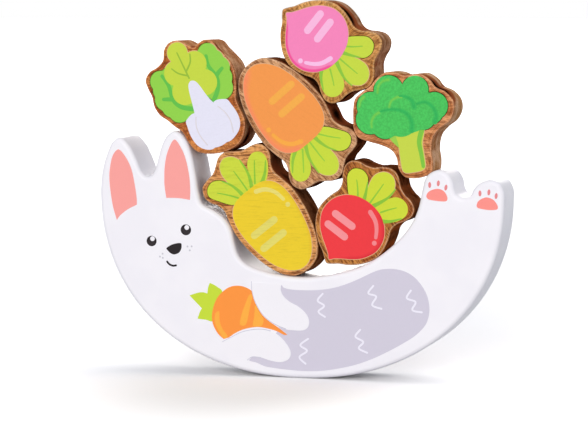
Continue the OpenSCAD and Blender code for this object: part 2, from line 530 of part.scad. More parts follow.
// Rabbit: white paint with pink ears and soles, a face, a carrot held in its arms and a lilac belly
module rabbit_rocker() {
    back_ear = smooth_loop([[-94.9, -45.5], [-93, -43], [-89, -39.9], [-84.2, -37.5], [-84.2, -34.5],
        [-85.2, -27.5], [-87, -19.5], [-90, -13.5], [-93.8, -9.7], [-97, -13], [-98.5, -19.5],
        [-98.3, -30.5], [-97, -38.5]], 2, [0, 3]);
    front_ear = smooth_loop([[-68.5, -33.7], [-62, -33.7], [-56, -34.5], [-55.8, -29.5], [-56.3, -22.5],
        [-58, -14.5], [-60.5, -8.5], [-64.2, -4.3], [-67.7, -10.5], [-69.2, -17.5], [-69.3, -28.5]],
        2, [0, 2]);
    pad = smooth_loop([[-5.4, -0.2], [-4.3, 1.6], [-1.8, 2.8], [0.7, 3.1], [3.2, 2.1], [4.7, 0],
        [5.1, -1.8], [4.2, -2.9], [0.7, -2.9], [-3.8, -2.3], [-5.1, -1.5]], 1);
    soles = [for (paw = [[70.8, foot_top_h - 12.3], [95.8, foot_top_h - 16.1]])
        each [moved(pad, paw), oval(paw + [-3.8, 5], [1.5, 2.9], 0, 8),
            oval(paw + [0.6, 5.8], [1.5, 2.9], -4, 8), oval(paw + [4.3, 3.9], [1.5, 2.9], -8, 8)]];
    belly = smooth_loop([[-8.5, seat_h - 4.5], [-7, seat_h - 5.3], [5, seat_h - 6.2], [13, seat_h - 5.6],
        [20, seat_h - 4.2], [27, seat_h - 1.7], [33, seat_h + 1], [38, seat_h + 3.5], [43, seat_h + 5.3],
        [49, seat_h + 5.7], [55, seat_h + 4.5], [60, seat_h + 1.5], [64, seat_h - 3.2],
        [66.3, seat_h - 8], [67.2, seat_h - 13.5], [66.5, 32], [64.5, 28], [60, 23.5], [54, 19.5],
        [47, 15.5], [39, 11.5], [30, 8], [21, 5.7], [12, 4.2], [3, 3.8], [-5, 4.1], [-12, 4.7],
        [-17, 5.4], [-21, 7], [-25.4, 8.6], [-19, 14], [-10, 24], [-9, 36]], 1);
    held_root = smooth_loop([[-39.2, 42], [-41.8, 39], [-43.6, 35], [-44.6, 30], [-44, 25.5], [-41.5, 21],
        [-38, 18], [-36, 19], [-32.5, 21.5], [-28, 23.6], [-23, 24.8], [-19, 25], [-14, 24.2],
        [-10.5, 23.2], [-7, 21.6], [-5.2, 21.7], [-7.5, 23.4], [-10.5, 25.5], [-14.5, 28], [-18, 31],
        [-21, 35.5], [-22.8, 39.5], [-23.7, 43], [-27.5, 45], [-31.5, 45.5], [-35.5, 44.6]], 1);
    held_lights = [[[-25, 41], [-26.6, 38], [-29, 31], [-29.8, 26], [-26.6, 26.4], [-24.8, 34],
            [-23.4, 40.6]],
        [[-21.8, 36], [-22.4, 30], [-23, 25.6], [-18.6, 25.8], [-17.6, 29], [-20, 33]],
        [[-40.8, 32.2], [-42.8, 31], [-43, 27], [-41.4, 23], [-38.4, 19], [-36.4, 20], [-39, 23.5],
            [-40.5, 27.5]]];
    held_leaves = smooth_loop([[-39, 41], [-41.8, 44.6], [-45.7, 46.5], [-46.6, 44], [-47, 41], [-49, 41.6],
        [-52, 41.3], [-56.4, 39.8], [-52.5, 36], [-49.9, 33.5], [-51, 31.5], [-52.2, 28.2],
        [-48, 27.8], [-43, 28]], 2, [2, 4, 7, 9, 11]);
    arms = [smooth_loop([[-23.8, seat_h - 3], [-23.4, seat_h - 7.5], [-22.8, 39.5], [-21, 35.5], [-18, 31],
            [-14.5, 28.3], [-10.5, 26], [-6, 24.4], [0, 24], [3.5, 24.4], [5.5, 26], [6, 29], [4.5, 32.5],
            [0.5, 36], [-3.5, 38], [-6.8, seat_h - 10], [-8.5, seat_h - 7], [-8.6, seat_h - 3.3]], 1),
        smooth_loop([[-39, 17.2], [-34, 19.8], [-29, 22.3], [-23, 23.6], [-18, 24], [-14, 23.2],
            [-10, 21.4], [-6.5, 18.2], [-4, 14.5], [-3.5, 11.5], [-5.2, 9], [-9, 7.8], [-14, 8.4],
            [-19, 9.8], [-23, 10], [-26, 8.2], [-30, 12]], 1)];
    arm_lines = [[[-23.8, seat_h - 2.7], [-23.5, seat_h - 7.5], [-22, 38], [-19, 32.6], [-14.8, 28.6],
            [-10.5, 26.2], [-6, 24.6]],
        [[-39, 17], [-34, 19.7], [-29, 22.2], [-23, 23.7], [-18, 24], [-14, 23.3]],
        [[-26, 8.2], [-23.4, 9.9], [-19, 9.7]]];
    eyes = [[-76.4, 66.8], [-58.2, 72.9]];
    nose = smooth_loop([[-68.5, 63.4], [-68, 62.4], [-66.5, 61], [-64.5, 60.3], [-62, 61.2], [-60.7, 63.2],
        [-60.5, 65.3], [-61, 66.1], [-63, 66], [-66, 65.1]], 1);
    mouth = stroke([[-68.2, 56.6], [-67, 55.3], [-65.2, 54.6], [-63.5, 54.8]], mouth_w);
    cheek_dots = [for (p = [[-70.6, 60.5], [-72, 59], [-70.5, 58.4], [-57.4, 64.5], [-55.2, 64.6],
        [-56.2, 62.6]]) disc(p, cheek_dot_w / 2, 5)];
    marks = [[[13, seat_h - 7.7], [10.4, seat_h - 11.2], [13.8, seat_h - 13.7], [10.8, seat_h - 16.7],
            [14.2, seat_h - 19.2]],
        [[38.8, seat_h - 3], [36.3, seat_h - 6.7], [40.3, seat_h - 8.2], [38.3, seat_h - 12.5],
            [43, seat_h - 14.2]],
        [[57.8, seat_h - 4.7], [55.8, seat_h - 8.5], [60.2, seat_h - 10.3], [58.6, seat_h - 14.3],
            [63.4, seat_h - 15.3]],
        [[5.5, 20], [1.5, 16.7], [5, 14], [1, 10.7], [4.2, 7.5]],
        [[32.2, 25.5], [29.8, 22], [33.8, 19.5], [31.5, 16.3], [35.8, 14.2]]];
    color(white_paint) plate(rabbit_outline, rabbit_t, rabbit_edge);
    color(ear_pink) rabbit_print([for (ear = [back_ear, front_ear]) moved(ear, [0, ear_top_h])]);
    color(pad_pink) rabbit_print(soles);
    color(belly_lilac) rabbit_print([belly]);
    color(leaf_green) rabbit_print([held_leaves]);
    color(carrot_orange) rabbit_print([held_root], 2);
    color(carrot_bar) rabbit_print([for (l = held_lights) smooth_loop(l, 1)], 3);
    color(white_paint) rabbit_print(arms, 3);
    color(arm_line_grey) rabbit_print([for (l = arm_lines) stroke(l, arm_line_w, [0.6, 0.8])], 4);
    color(white_paint) rabbit_print([for (l = marks) stroke(l, mark_w)], 2);
    color(face_black)
        rabbit_print(concat([for (at = eyes) disc(at, eye_w / 2, 16)], [nose, mouth], cheek_dots));
    color(white_paint)
        rabbit_print([for (at = eyes) disc(at + [0.2, 0.4] * eye_light_w, eye_light_w / 2, 8)], 2);
}

module rabbit_print(outlines, layer = 1) {
    print_field([for (s = outlines) stretched(s, rabbit_fit)], rabbit_t, layer);
}

rabbit_rocker();
yellow_carrot_block();
red_radish_block();
orange_carrot_block();
bok_choy_block();
broccoli_block();
pink_radish_block();
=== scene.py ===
from math import atan2, cos, exp, hypot, pi, radians, sin

import bpy
from mathutils import Matrix, Vector


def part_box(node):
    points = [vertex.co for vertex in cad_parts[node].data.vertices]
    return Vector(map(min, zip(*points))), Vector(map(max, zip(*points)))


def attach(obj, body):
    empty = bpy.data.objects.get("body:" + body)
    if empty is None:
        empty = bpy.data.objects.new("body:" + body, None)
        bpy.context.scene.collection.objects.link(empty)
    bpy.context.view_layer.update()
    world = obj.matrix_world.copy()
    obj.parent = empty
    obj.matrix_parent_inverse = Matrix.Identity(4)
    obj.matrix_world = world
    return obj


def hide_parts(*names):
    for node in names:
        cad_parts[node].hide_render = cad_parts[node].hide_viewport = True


# Stacking balance game: a white painted rabbit rocker with six printed vegetable blocks.
# Outlines are drawn upright in millimetres as (across, up) pairs, seen from the printed side.

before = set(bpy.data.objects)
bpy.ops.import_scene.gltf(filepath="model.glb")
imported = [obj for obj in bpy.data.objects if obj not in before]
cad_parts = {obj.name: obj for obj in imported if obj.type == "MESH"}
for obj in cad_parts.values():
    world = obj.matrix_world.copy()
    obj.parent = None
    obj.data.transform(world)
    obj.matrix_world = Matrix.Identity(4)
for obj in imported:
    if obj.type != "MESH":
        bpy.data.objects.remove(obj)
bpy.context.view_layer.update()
print("frame loaded")

mm = 0.001


# Outlines

def smoothLoop(points, steps, corners=()):
    # a closed curve through the points, which stays sharp at the corners named by their index
    count = len(points)
    made = []
    for i in range(count):
        a, b, c, d = (points[(i + k) % count] for k in (-1, 0, 1, 2))
        if i in corners:
            a = b
        if (i + 1) % count in corners:
            d = c
        for s in range(steps):
            made.append(splinePoint(a, b, c, d, s / steps))
    return made


def smoothLine(points, steps):
    # an open curve through the points
    ends = [points[0], *points, points[-1]]
    made = []
    for i in range(len(points) - 1):
        made += [splinePoint(*ends[i:i + 4], s / steps) for s in range(steps)]
    return made + [points[-1]]


def splinePoint(a, b, c, d, t):
    return tuple(
        0.5 * (2 * q + (r - p) * t + (2 * p - 5 * q + 4 * r - s) * t ** 2 + (3 * q - p - 3 * r + s) * t ** 3)
        for p, q, r, s in zip(a, b, c, d))


def mirrored(half):
    return half + [(-x, z) for x, z in reversed(half[1:-1])]


def stretched(loop, by):
    return [(x * by[0], z * by[1]) for x, z in loop]


def span(loop, axis):
    return max(p[axis] for p in loop) - min(p[axis] for p in loop)


def turnedLoop(loop, angle):
    c, s = cos(radians(angle)), sin(radians(angle))
    return [(x * c - z * s, x * s + z * c) for x, z in loop]


def inset(loop, by):
    # the loop pulled in at right angles to its edges
    made = []
    for i, (x, z) in enumerate(loop):
        before, after = loop[i - 1], loop[(i + 1) % len(loop)]
        runX, runZ = after[0] - before[0], after[1] - before[1]
        length = max(hypot(runX, runZ), 1e-6)
        made.append((x - by * runZ / length, z + by * runX / length))
    return made


def ring(centre, radius, squeeze=1, lean=0, count=36):
    points = [(radius * squeeze * cos(2 * pi * i / count), radius * sin(2 * pi * i / count))
              for i in range(count)]
    return [(x + centre[0], z + centre[1]) for x, z in turnedLoop(points, lean)]


def lobes(discs, middle, count=180):
    # the outer line of overlapping discs (x, z, radius), found by looking out from the middle
    made = []
    for i in range(count):
        dirX, dirZ = cos(2 * pi * i / count), sin(2 * pi * i / count)
        reach = 0
        for x, z, radius in discs:
            awayX, awayZ = x - middle[0], z - middle[1]
            along = awayX * dirX + awayZ * dirZ
            aside = radius ** 2 - (awayX * dirZ - awayZ * dirX) ** 2
            if aside > 0:
                reach = max(reach, along + aside ** 0.5)
        made.append((middle[0] + reach * dirX, middle[1] + reach * dirZ))
    return made


def stroke(points, width, taper=(1, 1), steps=6):
    # a line of print with round ends, width times the taper at its start and end
    line = smoothLine(points, steps)
    last = len(line) - 1
    left, right = [], []
    for i, (x, z) in enumerate(line):
        before, after = line[max(i - 1, 0)], line[min(i + 1, last)]
        runX, runZ = after[0] - before[0], after[1] - before[1]
        length = hypot(runX, runZ)
        half = width / 2 * (taper[0] + (taper[1] - taper[0]) * i / last)
        left.append((x - half * runZ / length, z + half * runX / length))
        right.append((x + half * runZ / length, z - half * runX / length))
    return right + roundEnd(line[-2], line[-1], width * taper[1] / 2) + left[::-1] + roundEnd(
        line[1], line[0], width * taper[0] / 2)


def roundEnd(inner, end, radius, count=6):
    lean = atan2(end[1] - inner[1], end[0] - inner[0])
    angles = [lean - pi / 2 + pi * i / count for i in range(1, count)]
    return [(end[0] + radius * cos(a), end[1] + radius * sin(a)) for a in angles]


# Meshes

def newPiece(name, verts, faces, materials, place, smooth):
    mesh = bpy.data.meshes.new(name)
    mesh.from_pydata([place @ Vector((x * mm, y * mm, z * mm)) for x, y, z in verts], [], faces)
    for material in materials:
        mesh.materials.append(material)
    mesh.polygons.foreach_set("use_smooth", [smooth] * len(mesh.polygons))
    piece = bpy.data.objects.new(name, mesh)
    bpy.context.scene.collection.objects.link(piece)
    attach(piece, "root")
    return piece


def setAttribute(piece, name, values):
    layer = piece.data.attributes.new(name, "FLOAT", "POINT")
    layer.data.foreach_set("value", values)


def hollowness(loop, reach=2.4, tight=50):
    # how far each point of the loop lies in a hollow: 1 where it turns in by the tight angle within
    # reach on both sides, and -1 where it turns out as much
    count = len(loop)
    made = []
    for i, here in enumerate(loop):
        ends = []
        for way in (-1, 1):
            k = i
            while hypot(loop[k][0] - here[0], loop[k][1] - here[1]) < reach:
                k = (k + way) % count
            ends.append(loop[k])
        (ax, az), (bx, bz) = ends
        turn = atan2(bz - here[1], bx - here[0]) - atan2(here[1] - az, here[0] - ax)
        turn = (turn + pi) % (2 * pi) - pi
        made.append(max(-1, min(1, -turn / radians(tight))))
    return made


def plate(name, loop, thickness, edge, rim, materials, place, scorchesAndShadows=()):
    # a flat board of the outline with rounded edges: flat faces take the first material, the wall the second
    half = thickness / 2
    roundSteps, wallSteps = 7, 14
    angles = [pi / 2 * i / roundSteps for i in range(roundSteps + 1)]
    quarter = [(edge * (1 - cos(a)), half - edge * (1 - sin(a))) for a in angles]
    wall = [(0, (half - edge) * (1 - 2 * i / wallSteps)) for i in range(1, wallSteps)]
    # two rings on each flat face keep its shading flat up to the rounded edge
    flats = [(edge + rim, half), (edge + rim / 3, half)]
    profile = [*flats, *reversed(quarter), *wall, *[(by, -y) for by, y in quarter],
               *[(by, -y) for by, y in reversed(flats)]]
    # the rounded edge carries a painted highlight, 1, between two dark lines, -1
    highlightAt, highlightWidth, lineWidth = 0.85, 0.3, 0.25  # all on the quarter turn of the edge, in radians
    tones = [exp(-((a - highlightAt) / highlightWidth) ** 2) - exp(-(a / lineWidth) ** 2) for a in reversed(angles)]
    edgeHighlightAndLineTones = [0, -1, *tones]
    edgeHighlightAndLineTones += [0] * len(wall) + edgeHighlightAndLineTones[::-1]
    count = len(loop)
    verts = [(x, y, z) for by, y in profile for x, z in inset(loop, by)]
    faces, wallFaces = [], []
    for r in range(len(profile) - 1):
        for i in range(count):
            a, b = r * count + i, r * count + (i + 1) % count
            if len(flats) + roundSteps <= r < len(flats) + roundSteps + wallSteps:
                wallFaces.append(len(faces))
            faces.append((a, b, b + count, a + count))
    front = (len(profile) - 1) * count
    faces.append(tuple(range(count))[::-1])
    faces.append(tuple(range(front, front + count)))
    piece = newPiece(name, verts, faces, materials, place, True)
    for i in wallFaces:
        piece.data.polygons[i].material_index = 1
    setAttribute(piece, "hollow", hollowness(loop) * len(profile))
    setAttribute(piece, "edgeHighlightAndLines", [tone for tone in edgeHighlightAndLineTones for _ in loop])
    setAttribute(piece, "scorchAndShadow", [scorchAndShadowAt(x, y, z, scorchesAndShadows) for x, y, z in verts])
    return piece


def scorchAndShadowAt(x, y, z, scorchesAndShadows):
    # 1 in the middle of a dark patch and 0 at its end, for patches (x, z, y, half length, half depth):
    # burn marks, and painted shadow in gaps between the pieces and on walls that face down
    reach = 0
    for atX, atZ, atY, long, deep in scorchesAndShadows:
        reach = max(reach, 1 - hypot(hypot(x - atX, z - atZ) / long, (y - atY) / deep))
    return reach


inkShape = {
    "step": 0.05,  # rise of each colour over the one below it
    "shift": 0.008,  # rise of each shape over the last in the same colour
    "root": 0.3,  # depth of the slips inside the board
}


def ink(name, loops, thickness, level, material, place, rim=None, rimSide=None):
    # flat fields of printed colour: closed slips that start in the board and stand a hair proud of it,
    # with a rim of another tone where rimSide says, as wide as the share rim of the way in
    front, back = -thickness / 2 - inkShape["step"] * level, -thickness / 2 + inkShape["root"]
    verts, faces, shade = [], [], []
    for k, loop in enumerate(loops):
        first, count = len(verts), len(loop)
        y = front - inkShape["shift"] * k
        rings = [(back, loop), (y, loop)]
        if rim:
            midX, midZ = (sum(p[axis] for p in loop) / count for axis in (0, 1))
            inner = [(midX + (x - midX) * (1 - rim), midZ + (z - midZ) * (1 - rim)) for x, z in loop]
            rings.append((y, inner))
        for r, (depth, points) in enumerate(rings):
            verts += [(x, depth, z) for x, z in points]
            shade += [(rimSide(x, z) if r < 2 and rimSide else 0) for x, z in points]
        for r in range(len(rings) - 1):
            for i in range(count):
                a, b = first + r * count + i, first + r * count + (i + 1) % count
                faces.append((a, b, b + count, a + count))
        top = first + (len(rings) - 1) * count
        faces.append(tuple(range(first, first + count))[::-1])
        faces.append(tuple(range(top, top + count)))
    piece = newPiece(name, verts, faces, [material], place, False)
    setAttribute(piece, "rim", shade)
    return piece


# Materials

grainLength = 9  # a grain line is this many times as long as it is wide

# Scales of the noise patterns in waves a millimetre, from the size beside each.
waves = {
    "grainLines": 1.5,  # dark grain lines, 0.7 mm apart
    "grainTone": 0.22,  # lighter and darker streaks, 4.5 mm wide
    "rayTicks": 0.8,  # 1.25 mm, coarser than on real beech, because real ones are too fine to show
    "sootClouds": 0.13,  # toasted clouds, 8 mm wide
    "sootSpecks": 1.2,  # 0.8 mm, coarser than real soot, because real specks are too fine to show
    "inkLines": 1.3,  # grain lines that show through the ink, 0.8 mm apart
    "inkMottle": 1.1,  # uneven ink, 0.9 mm
    "orangePeel": 0.9,  # the skin of sprayed enamel, 1.1 mm
    "enamelClouds": 0.05,  # thicker and thinner coat, 20 mm
}


def toLinear(colour):
    parts = [int(colour[i:i + 2], 16) / 255 for i in (1, 3, 5)]
    return (*[p / 12.92 if p <= 0.04045 else ((p + 0.055) / 1.055) ** 2.4 for p in parts], 1)


def addNode(tree, kind, inputs=None, **settings):
    node = tree.nodes.new(kind)
    for key, value in settings.items():
        setattr(node, key, value)
    for key, value in (inputs or {}).items():
        if isinstance(value, bpy.types.NodeSocket):
            tree.links.new(value, node.inputs[key])
        else:
            node.inputs[key].default_value = value
    return node


def newMaterial(name):
    material = bpy.data.materials.new(name)
    material.use_nodes = True
    material.node_tree.nodes.clear()
    return material, material.node_tree


def layered(tree, base, layers):
    # colours laid over the base one by one: each comes in as its pattern goes from low to high,
    # up to its share. Mix has sockets of the same name for numbers and colours, so they go by their place
    for pattern, low, high, share, colour in layers:
        amount = addNode(tree, "ShaderNodeMapRange", {
            "Value": pattern, "From Min": low, "From Max": high, "To Max": share,
        }, interpolation_type="SMOOTHSTEP").outputs[0]
        base = addNode(tree, "ShaderNodeMix", {0: amount, 6: base, 7: colour}, data_type="RGBA").outputs[2]
    return base


def grainPlace(tree, lean, stretch):
    # object space in millimetres, turned so that the grain runs up, and stretched along it
    place = addNode(tree, "ShaderNodeTexCoord").outputs["Object"]
    turned = addNode(tree, "ShaderNodeMapping", {
        "Vector": place, "Rotation": (0, radians(lean), 0), "Scale": (1 / mm, 1 / mm, 1 / mm)}).outputs[0]
    return addNode(tree, "ShaderNodeMapping", {"Vector": turned, "Scale": (1, 1, 1 / stretch)}).outputs[0]


def aroundPlace(tree, middle, radius, squash):
    # the way round the middle of a block in millimetres, and the way out from it made short
    place = addNode(tree, "ShaderNodeTexCoord").outputs["Object"]
    offset = addNode(tree, "ShaderNodeVectorMath", {0: place, 1: middle}, operation="SUBTRACT").outputs[0]
    parts = addNode(tree, "ShaderNodeSeparateXYZ", {0: offset})
    turn = addNode(tree, "ShaderNodeMath", {0: parts.outputs["Z"], 1: parts.outputs["X"]},
                   operation="ARCTAN2").outputs[0]
    out = addNode(tree, "ShaderNodeVectorMath", {0: offset}, operation="LENGTH").outputs["Value"]
    made = addNode(tree, "ShaderNodeCombineXYZ", {"X": turn, "Y": out})
    return addNode(tree, "ShaderNodeVectorMath", {0: made.outputs[0], 1: (radius, squash / mm, 0)},
                   operation="MULTIPLY").outputs[0]


def sandedBeech(name, wood, lean, middle):
    # bare sanded beech: warm tan with fine dark grain lines, ticks across the rim where the saw
    # and the sander ran over the rays, and a painted highlight on the rounded edge between two dark lines
    material, tree = newMaterial(name)
    along = grainPlace(tree, lean, grainLength)
    tone = addNode(tree, "ShaderNodeTexNoise", {
        "Vector": along, "Scale": waves["grainTone"], "Detail": 3}).outputs["Fac"]
    lines = addNode(tree, "ShaderNodeTexNoise", {
        "Vector": along, "Scale": waves["grainLines"], "Detail": 4, "Roughness": 0.7}).outputs["Fac"]
    ticks = addNode(tree, "ShaderNodeTexNoise", {
        "Vector": aroundPlace(tree, middle, radius=26, squash=0.22), "Scale": waves["rayTicks"],
        "Detail": 2, "Roughness": 0.6}).outputs["Fac"]
    base = layered(tree, toLinear(wood["light"]), [
        (tone, 0.38, 0.62, 1, toLinear(wood["mid"])),
        (lines, 0.47, 0.6, wood["lines"], toLinear(wood["dark"])),
        (ticks, 0.48, 0.56, wood["ticks"], toLinear(wood["dark"]))])
    # the painted edge highlight is broken by the grain lines, and the dark lines beside it by the streaks
    edge = addNode(tree, "ShaderNodeAttribute", attribute_name="edgeHighlightAndLines").outputs["Fac"]
    # the first band paints a highlight on the rounded edge in the edge colour, the second lays the dark lines
    bands = [(0.2, 1, lines, 0.35, 0.5, 0.9, 0.35, wood["edge"]),
             (-0.3, -1, tone, 0.4, 0.6, 0.1 * wood["rimLine"], wood["rimLine"], wood["rimDark"])]
    for start, full, pattern, low, high, atLow, atHigh, colour in bands:
        band = addNode(tree, "ShaderNodeMapRange", {
            "Value": edge, "From Min": start, "From Max": full}, interpolation_type="SMOOTHSTEP")
        broken = addNode(tree, "ShaderNodeMapRange", {
            "Value": pattern, "From Min": low, "From Max": high, "To Min": atLow, "To Max": atHigh,
        }, interpolation_type="SMOOTHSTEP")
        amount = addNode(tree, "ShaderNodeMath", {0: band.outputs[0], 1: broken.outputs[0]},
                         operation="MULTIPLY").outputs[0]
        base = addNode(tree, "ShaderNodeMix", {0: amount, 6: base, 7: toLinear(colour)},
                       data_type="RGBA").outputs[2]
    bump = addNode(tree, "ShaderNodeBump", {"Height": lines, "Strength": 0.3, "Distance": 0.1 * mm})
    shader = addNode(tree, "ShaderNodeBsdfPrincipled", {
        "Base Color": base, "Roughness": 0.55, "Specular IOR Level": 0.1, "Normal": bump.outputs[0]})
    addNode(tree, "ShaderNodeOutputMaterial", {"Surface": shader.outputs[0]})
    return material


def laserCutBeech(name, wood):
    # the laser-cut side of the board: toasted tan with clouds and specks of soot, burnt brown with
    # painted shade where the wall turns in, and near black in burn marks and painted shadows
    material, tree = newMaterial(name)
    place = grainPlace(tree, 0, 1)
    cloud = addNode(tree, "ShaderNodeTexNoise", {
        "Vector": place, "Scale": waves["sootClouds"], "Detail": 4, "Roughness": 0.6}).outputs["Fac"]
    specks = addNode(tree, "ShaderNodeTexNoise", {
        "Vector": place, "Scale": waves["sootSpecks"], "Detail": 4, "Roughness": 0.8}).outputs["Fac"]
    hollow = addNode(tree, "ShaderNodeAttribute", attribute_name="hollow").outputs["Fac"]
    toastedAndHollowShade = addNode(tree, "ShaderNodeMath", {0: cloud, 1: hollow}, operation="ADD").outputs[0]
    scorchAndShadow = addNode(tree, "ShaderNodeAttribute", attribute_name="scorchAndShadow").outputs["Fac"]
    ragged = addNode(tree, "ShaderNodeMath", {0: specks, 1: 0.25, 2: scorchAndShadow},
                     operation="MULTIPLY_ADD").outputs[0]
    base = layered(tree, toLinear(wood["wall"]), [
        (cloud, 0.38, 0.6, 1, toLinear(wood["wallDark"])),
        (specks, 0.48, 0.6, 0.42, toLinear(wood["dark"])),
        # burnt brown with painted shade in the hollows of the wall, lighter where it turns out
        (toastedAndHollowShade, 0.6, 1.05, wood["hollowBurnAndShadeShare"], toLinear(wood["burntAndShadeBrown"])),
        # the patches, burn marks and painted shadow, go brown at their ends and near black in the middle
        (ragged, 0.16, 0.42, 1, toLinear(wood["burntAndShadeBrown"])),
        (ragged, 0.46, 0.8, 1, toLinear(wood["sootAndShadowBlack"]))])
    bump = addNode(tree, "ShaderNodeBump", {"Height": specks, "Strength": 0.4, "Distance": 0.12 * mm})
    shader = addNode(tree, "ShaderNodeBsdfPrincipled", {
        "Base Color": base, "Roughness": 0.7, "Specular IOR Level": 0, "Normal": bump.outputs[0]})
    addNode(tree, "ShaderNodeOutputMaterial", {"Surface": shader.outputs[0]})
    return material


def printInk(name, colour, lean=0, grain=0.12, mottle=0.06, rimColour=None, rimSharp=0.5):
    # ink printed on sanded beech: flat and satin, a little uneven, with the grain lines showing through
    material, tree = newMaterial(name)
    lines = addNode(tree, "ShaderNodeTexNoise", {
        "Vector": grainPlace(tree, lean, grainLength), "Scale": waves["inkLines"], "Detail": 4,
        "Roughness": 0.7}).outputs["Fac"]
    uneven = addNode(tree, "ShaderNodeTexNoise", {
        "Vector": grainPlace(tree, 0, 1), "Scale": waves["inkMottle"], "Detail": 2}).outputs["Fac"]
    darkShare = 0.62
    dark = tuple(darkShare * part for part in toLinear(colour)[:3]) + (1,)
    layers = [(lines, 0.48, 0.7, grain, dark), (uneven, 0.3, 0.7, mottle, dark)]
    if rimColour:
        rim = addNode(tree, "ShaderNodeAttribute", attribute_name="rim").outputs["Fac"]
        layers.insert(0, (rim, 0.5 - rimSharp / 2, 0.5 + rimSharp / 2, 1, toLinear(rimColour)))
    bump = addNode(tree, "ShaderNodeBump", {"Height": lines, "Strength": 0.2, "Distance": 0.06 * mm})
    shader = addNode(tree, "ShaderNodeBsdfPrincipled", {
        "Base Color": layered(tree, toLinear(colour), layers), "Roughness": 0.5,
        "Specular IOR Level": 0.15, "Normal": bump.outputs[0]})
    addNode(tree, "ShaderNodeOutputMaterial", {"Surface": shader.outputs[0]})
    return material


def sprayedEnamel(name, colour, shade):
    # white enamel sprayed on smooth wood: a soft wide shine and a faint orange-peel skin
    material, tree = newMaterial(name)
    place = grainPlace(tree, 0, 1)
    peel = addNode(tree, "ShaderNodeTexNoise", {
        "Vector": place, "Scale": waves["orangePeel"], "Detail": 2}).outputs["Fac"]
    cloud = addNode(tree, "ShaderNodeTexNoise", {
        "Vector": place, "Scale": waves["enamelClouds"], "Detail": 2}).outputs["Fac"]
    base = layered(tree, toLinear(colour), [(cloud, 0.35, 0.65, 1, toLinear(shade))])
    bump = addNode(tree, "ShaderNodeBump", {"Height": peel, "Strength": 0.15, "Distance": 0.05 * mm})
    shader = addNode(tree, "ShaderNodeBsdfPrincipled", {
        "Base Color": base, "Roughness": 0.38, "Specular IOR Level": 0.25, "Normal": bump.outputs[0]})
    addNode(tree, "ShaderNodeOutputMaterial", {"Surface": shader.outputs[0]})
    return material


# Carrots and radishes

blockShape = {
    "thickness": 22, "edge": 1.2, "rim": 0.8, "outlineSteps": 8, "printSteps": 6, "ground": 0.3,
    "shadeWidth": 2.1, "veinWidth": 0.75, "barWidth": 3.6, "shineWidth": 2.1, "dotRadius": 1.2,
    "rimMiddle": -6, "rimBow": 0.35, "rimFade": 5,  # height, curve and width of the shading on a root
}

carrotShape = {
    "width": 41.5, "height": 72.5,
    "half": [(0, -37), (4, -36.5), (8, -34.6), (12, -30), (15.2, -23), (17.4, -15), (18.5, -7), (18.5, 0),
             (17.3, 6.5), (16.1, 11.5), (17, 15.5), (19.4, 19.5), (20.1, 23.5), (18, 27.7), (14, 29.2),
             (9.5, 30), (6, 32.2), (3, 34.4), (0, 35)],
    "root": [(0, -34.8), (4, -33.8), (8, -30.6), (11.6, -25), (13.9, -18), (15.3, -10), (15.8, -3),
             (15.2, 3), (13.2, 7.8), (9.6, 11), (5.4, 12.2), (0, 12.4)],
    "leaves": [
        [(-3.5, 10), (-4.2, 14), (-6, 21), (-8.5, 25), (-12.5, 26.8), (-16.3, 25.3), (-17.7, 21.8),
         (-15, 17), (-10, 11)],
        [(3.2, 10), (4.4, 14), (5.4, 18), (7, 22), (9.6, 24.6), (13, 25.6), (16, 24.2), (17.3, 21.4),
         (16.6, 17.6), (14, 13.8), (10.4, 10.6), (6.5, 9.4)],
        [(3, 10), (4.2, 16), (5.6, 22), (5.4, 27.5), (3, 31), (-0.4, 32.4), (-3.8, 31), (-5.8, 27.2),
         (-5.8, 22), (-4.8, 16), (-3.8, 10)]],
    "shades": [[(-7.8, 24), (-5.4, 20), (-4, 15.5), (-3.4, 11)],
               [(5.8, 27), (5.5, 21), (4.4, 16.5), (2, 11.4)], [(16, 18.5), (12.4, 14.2), (8, 11)]],
    "veins": [[(-13.2, 20.8), (-9.2, 16.4), (-5.6, 11.6)], [(0, 24.3), (0, 18), (-0.2, 11.6)],
              [(11.6, 22), (8.6, 18), (5, 13)]],
    "bars": [[(-10.9, -7.3), (1.9, -7.2)], [(-10.9, -15.3), (1.7, -15.1)]],
    "arc": [(3, 9.4), (7.4, 7.4), (10.6, 3.2), (11.8, -2)], "dot": (12, -5.4),
}

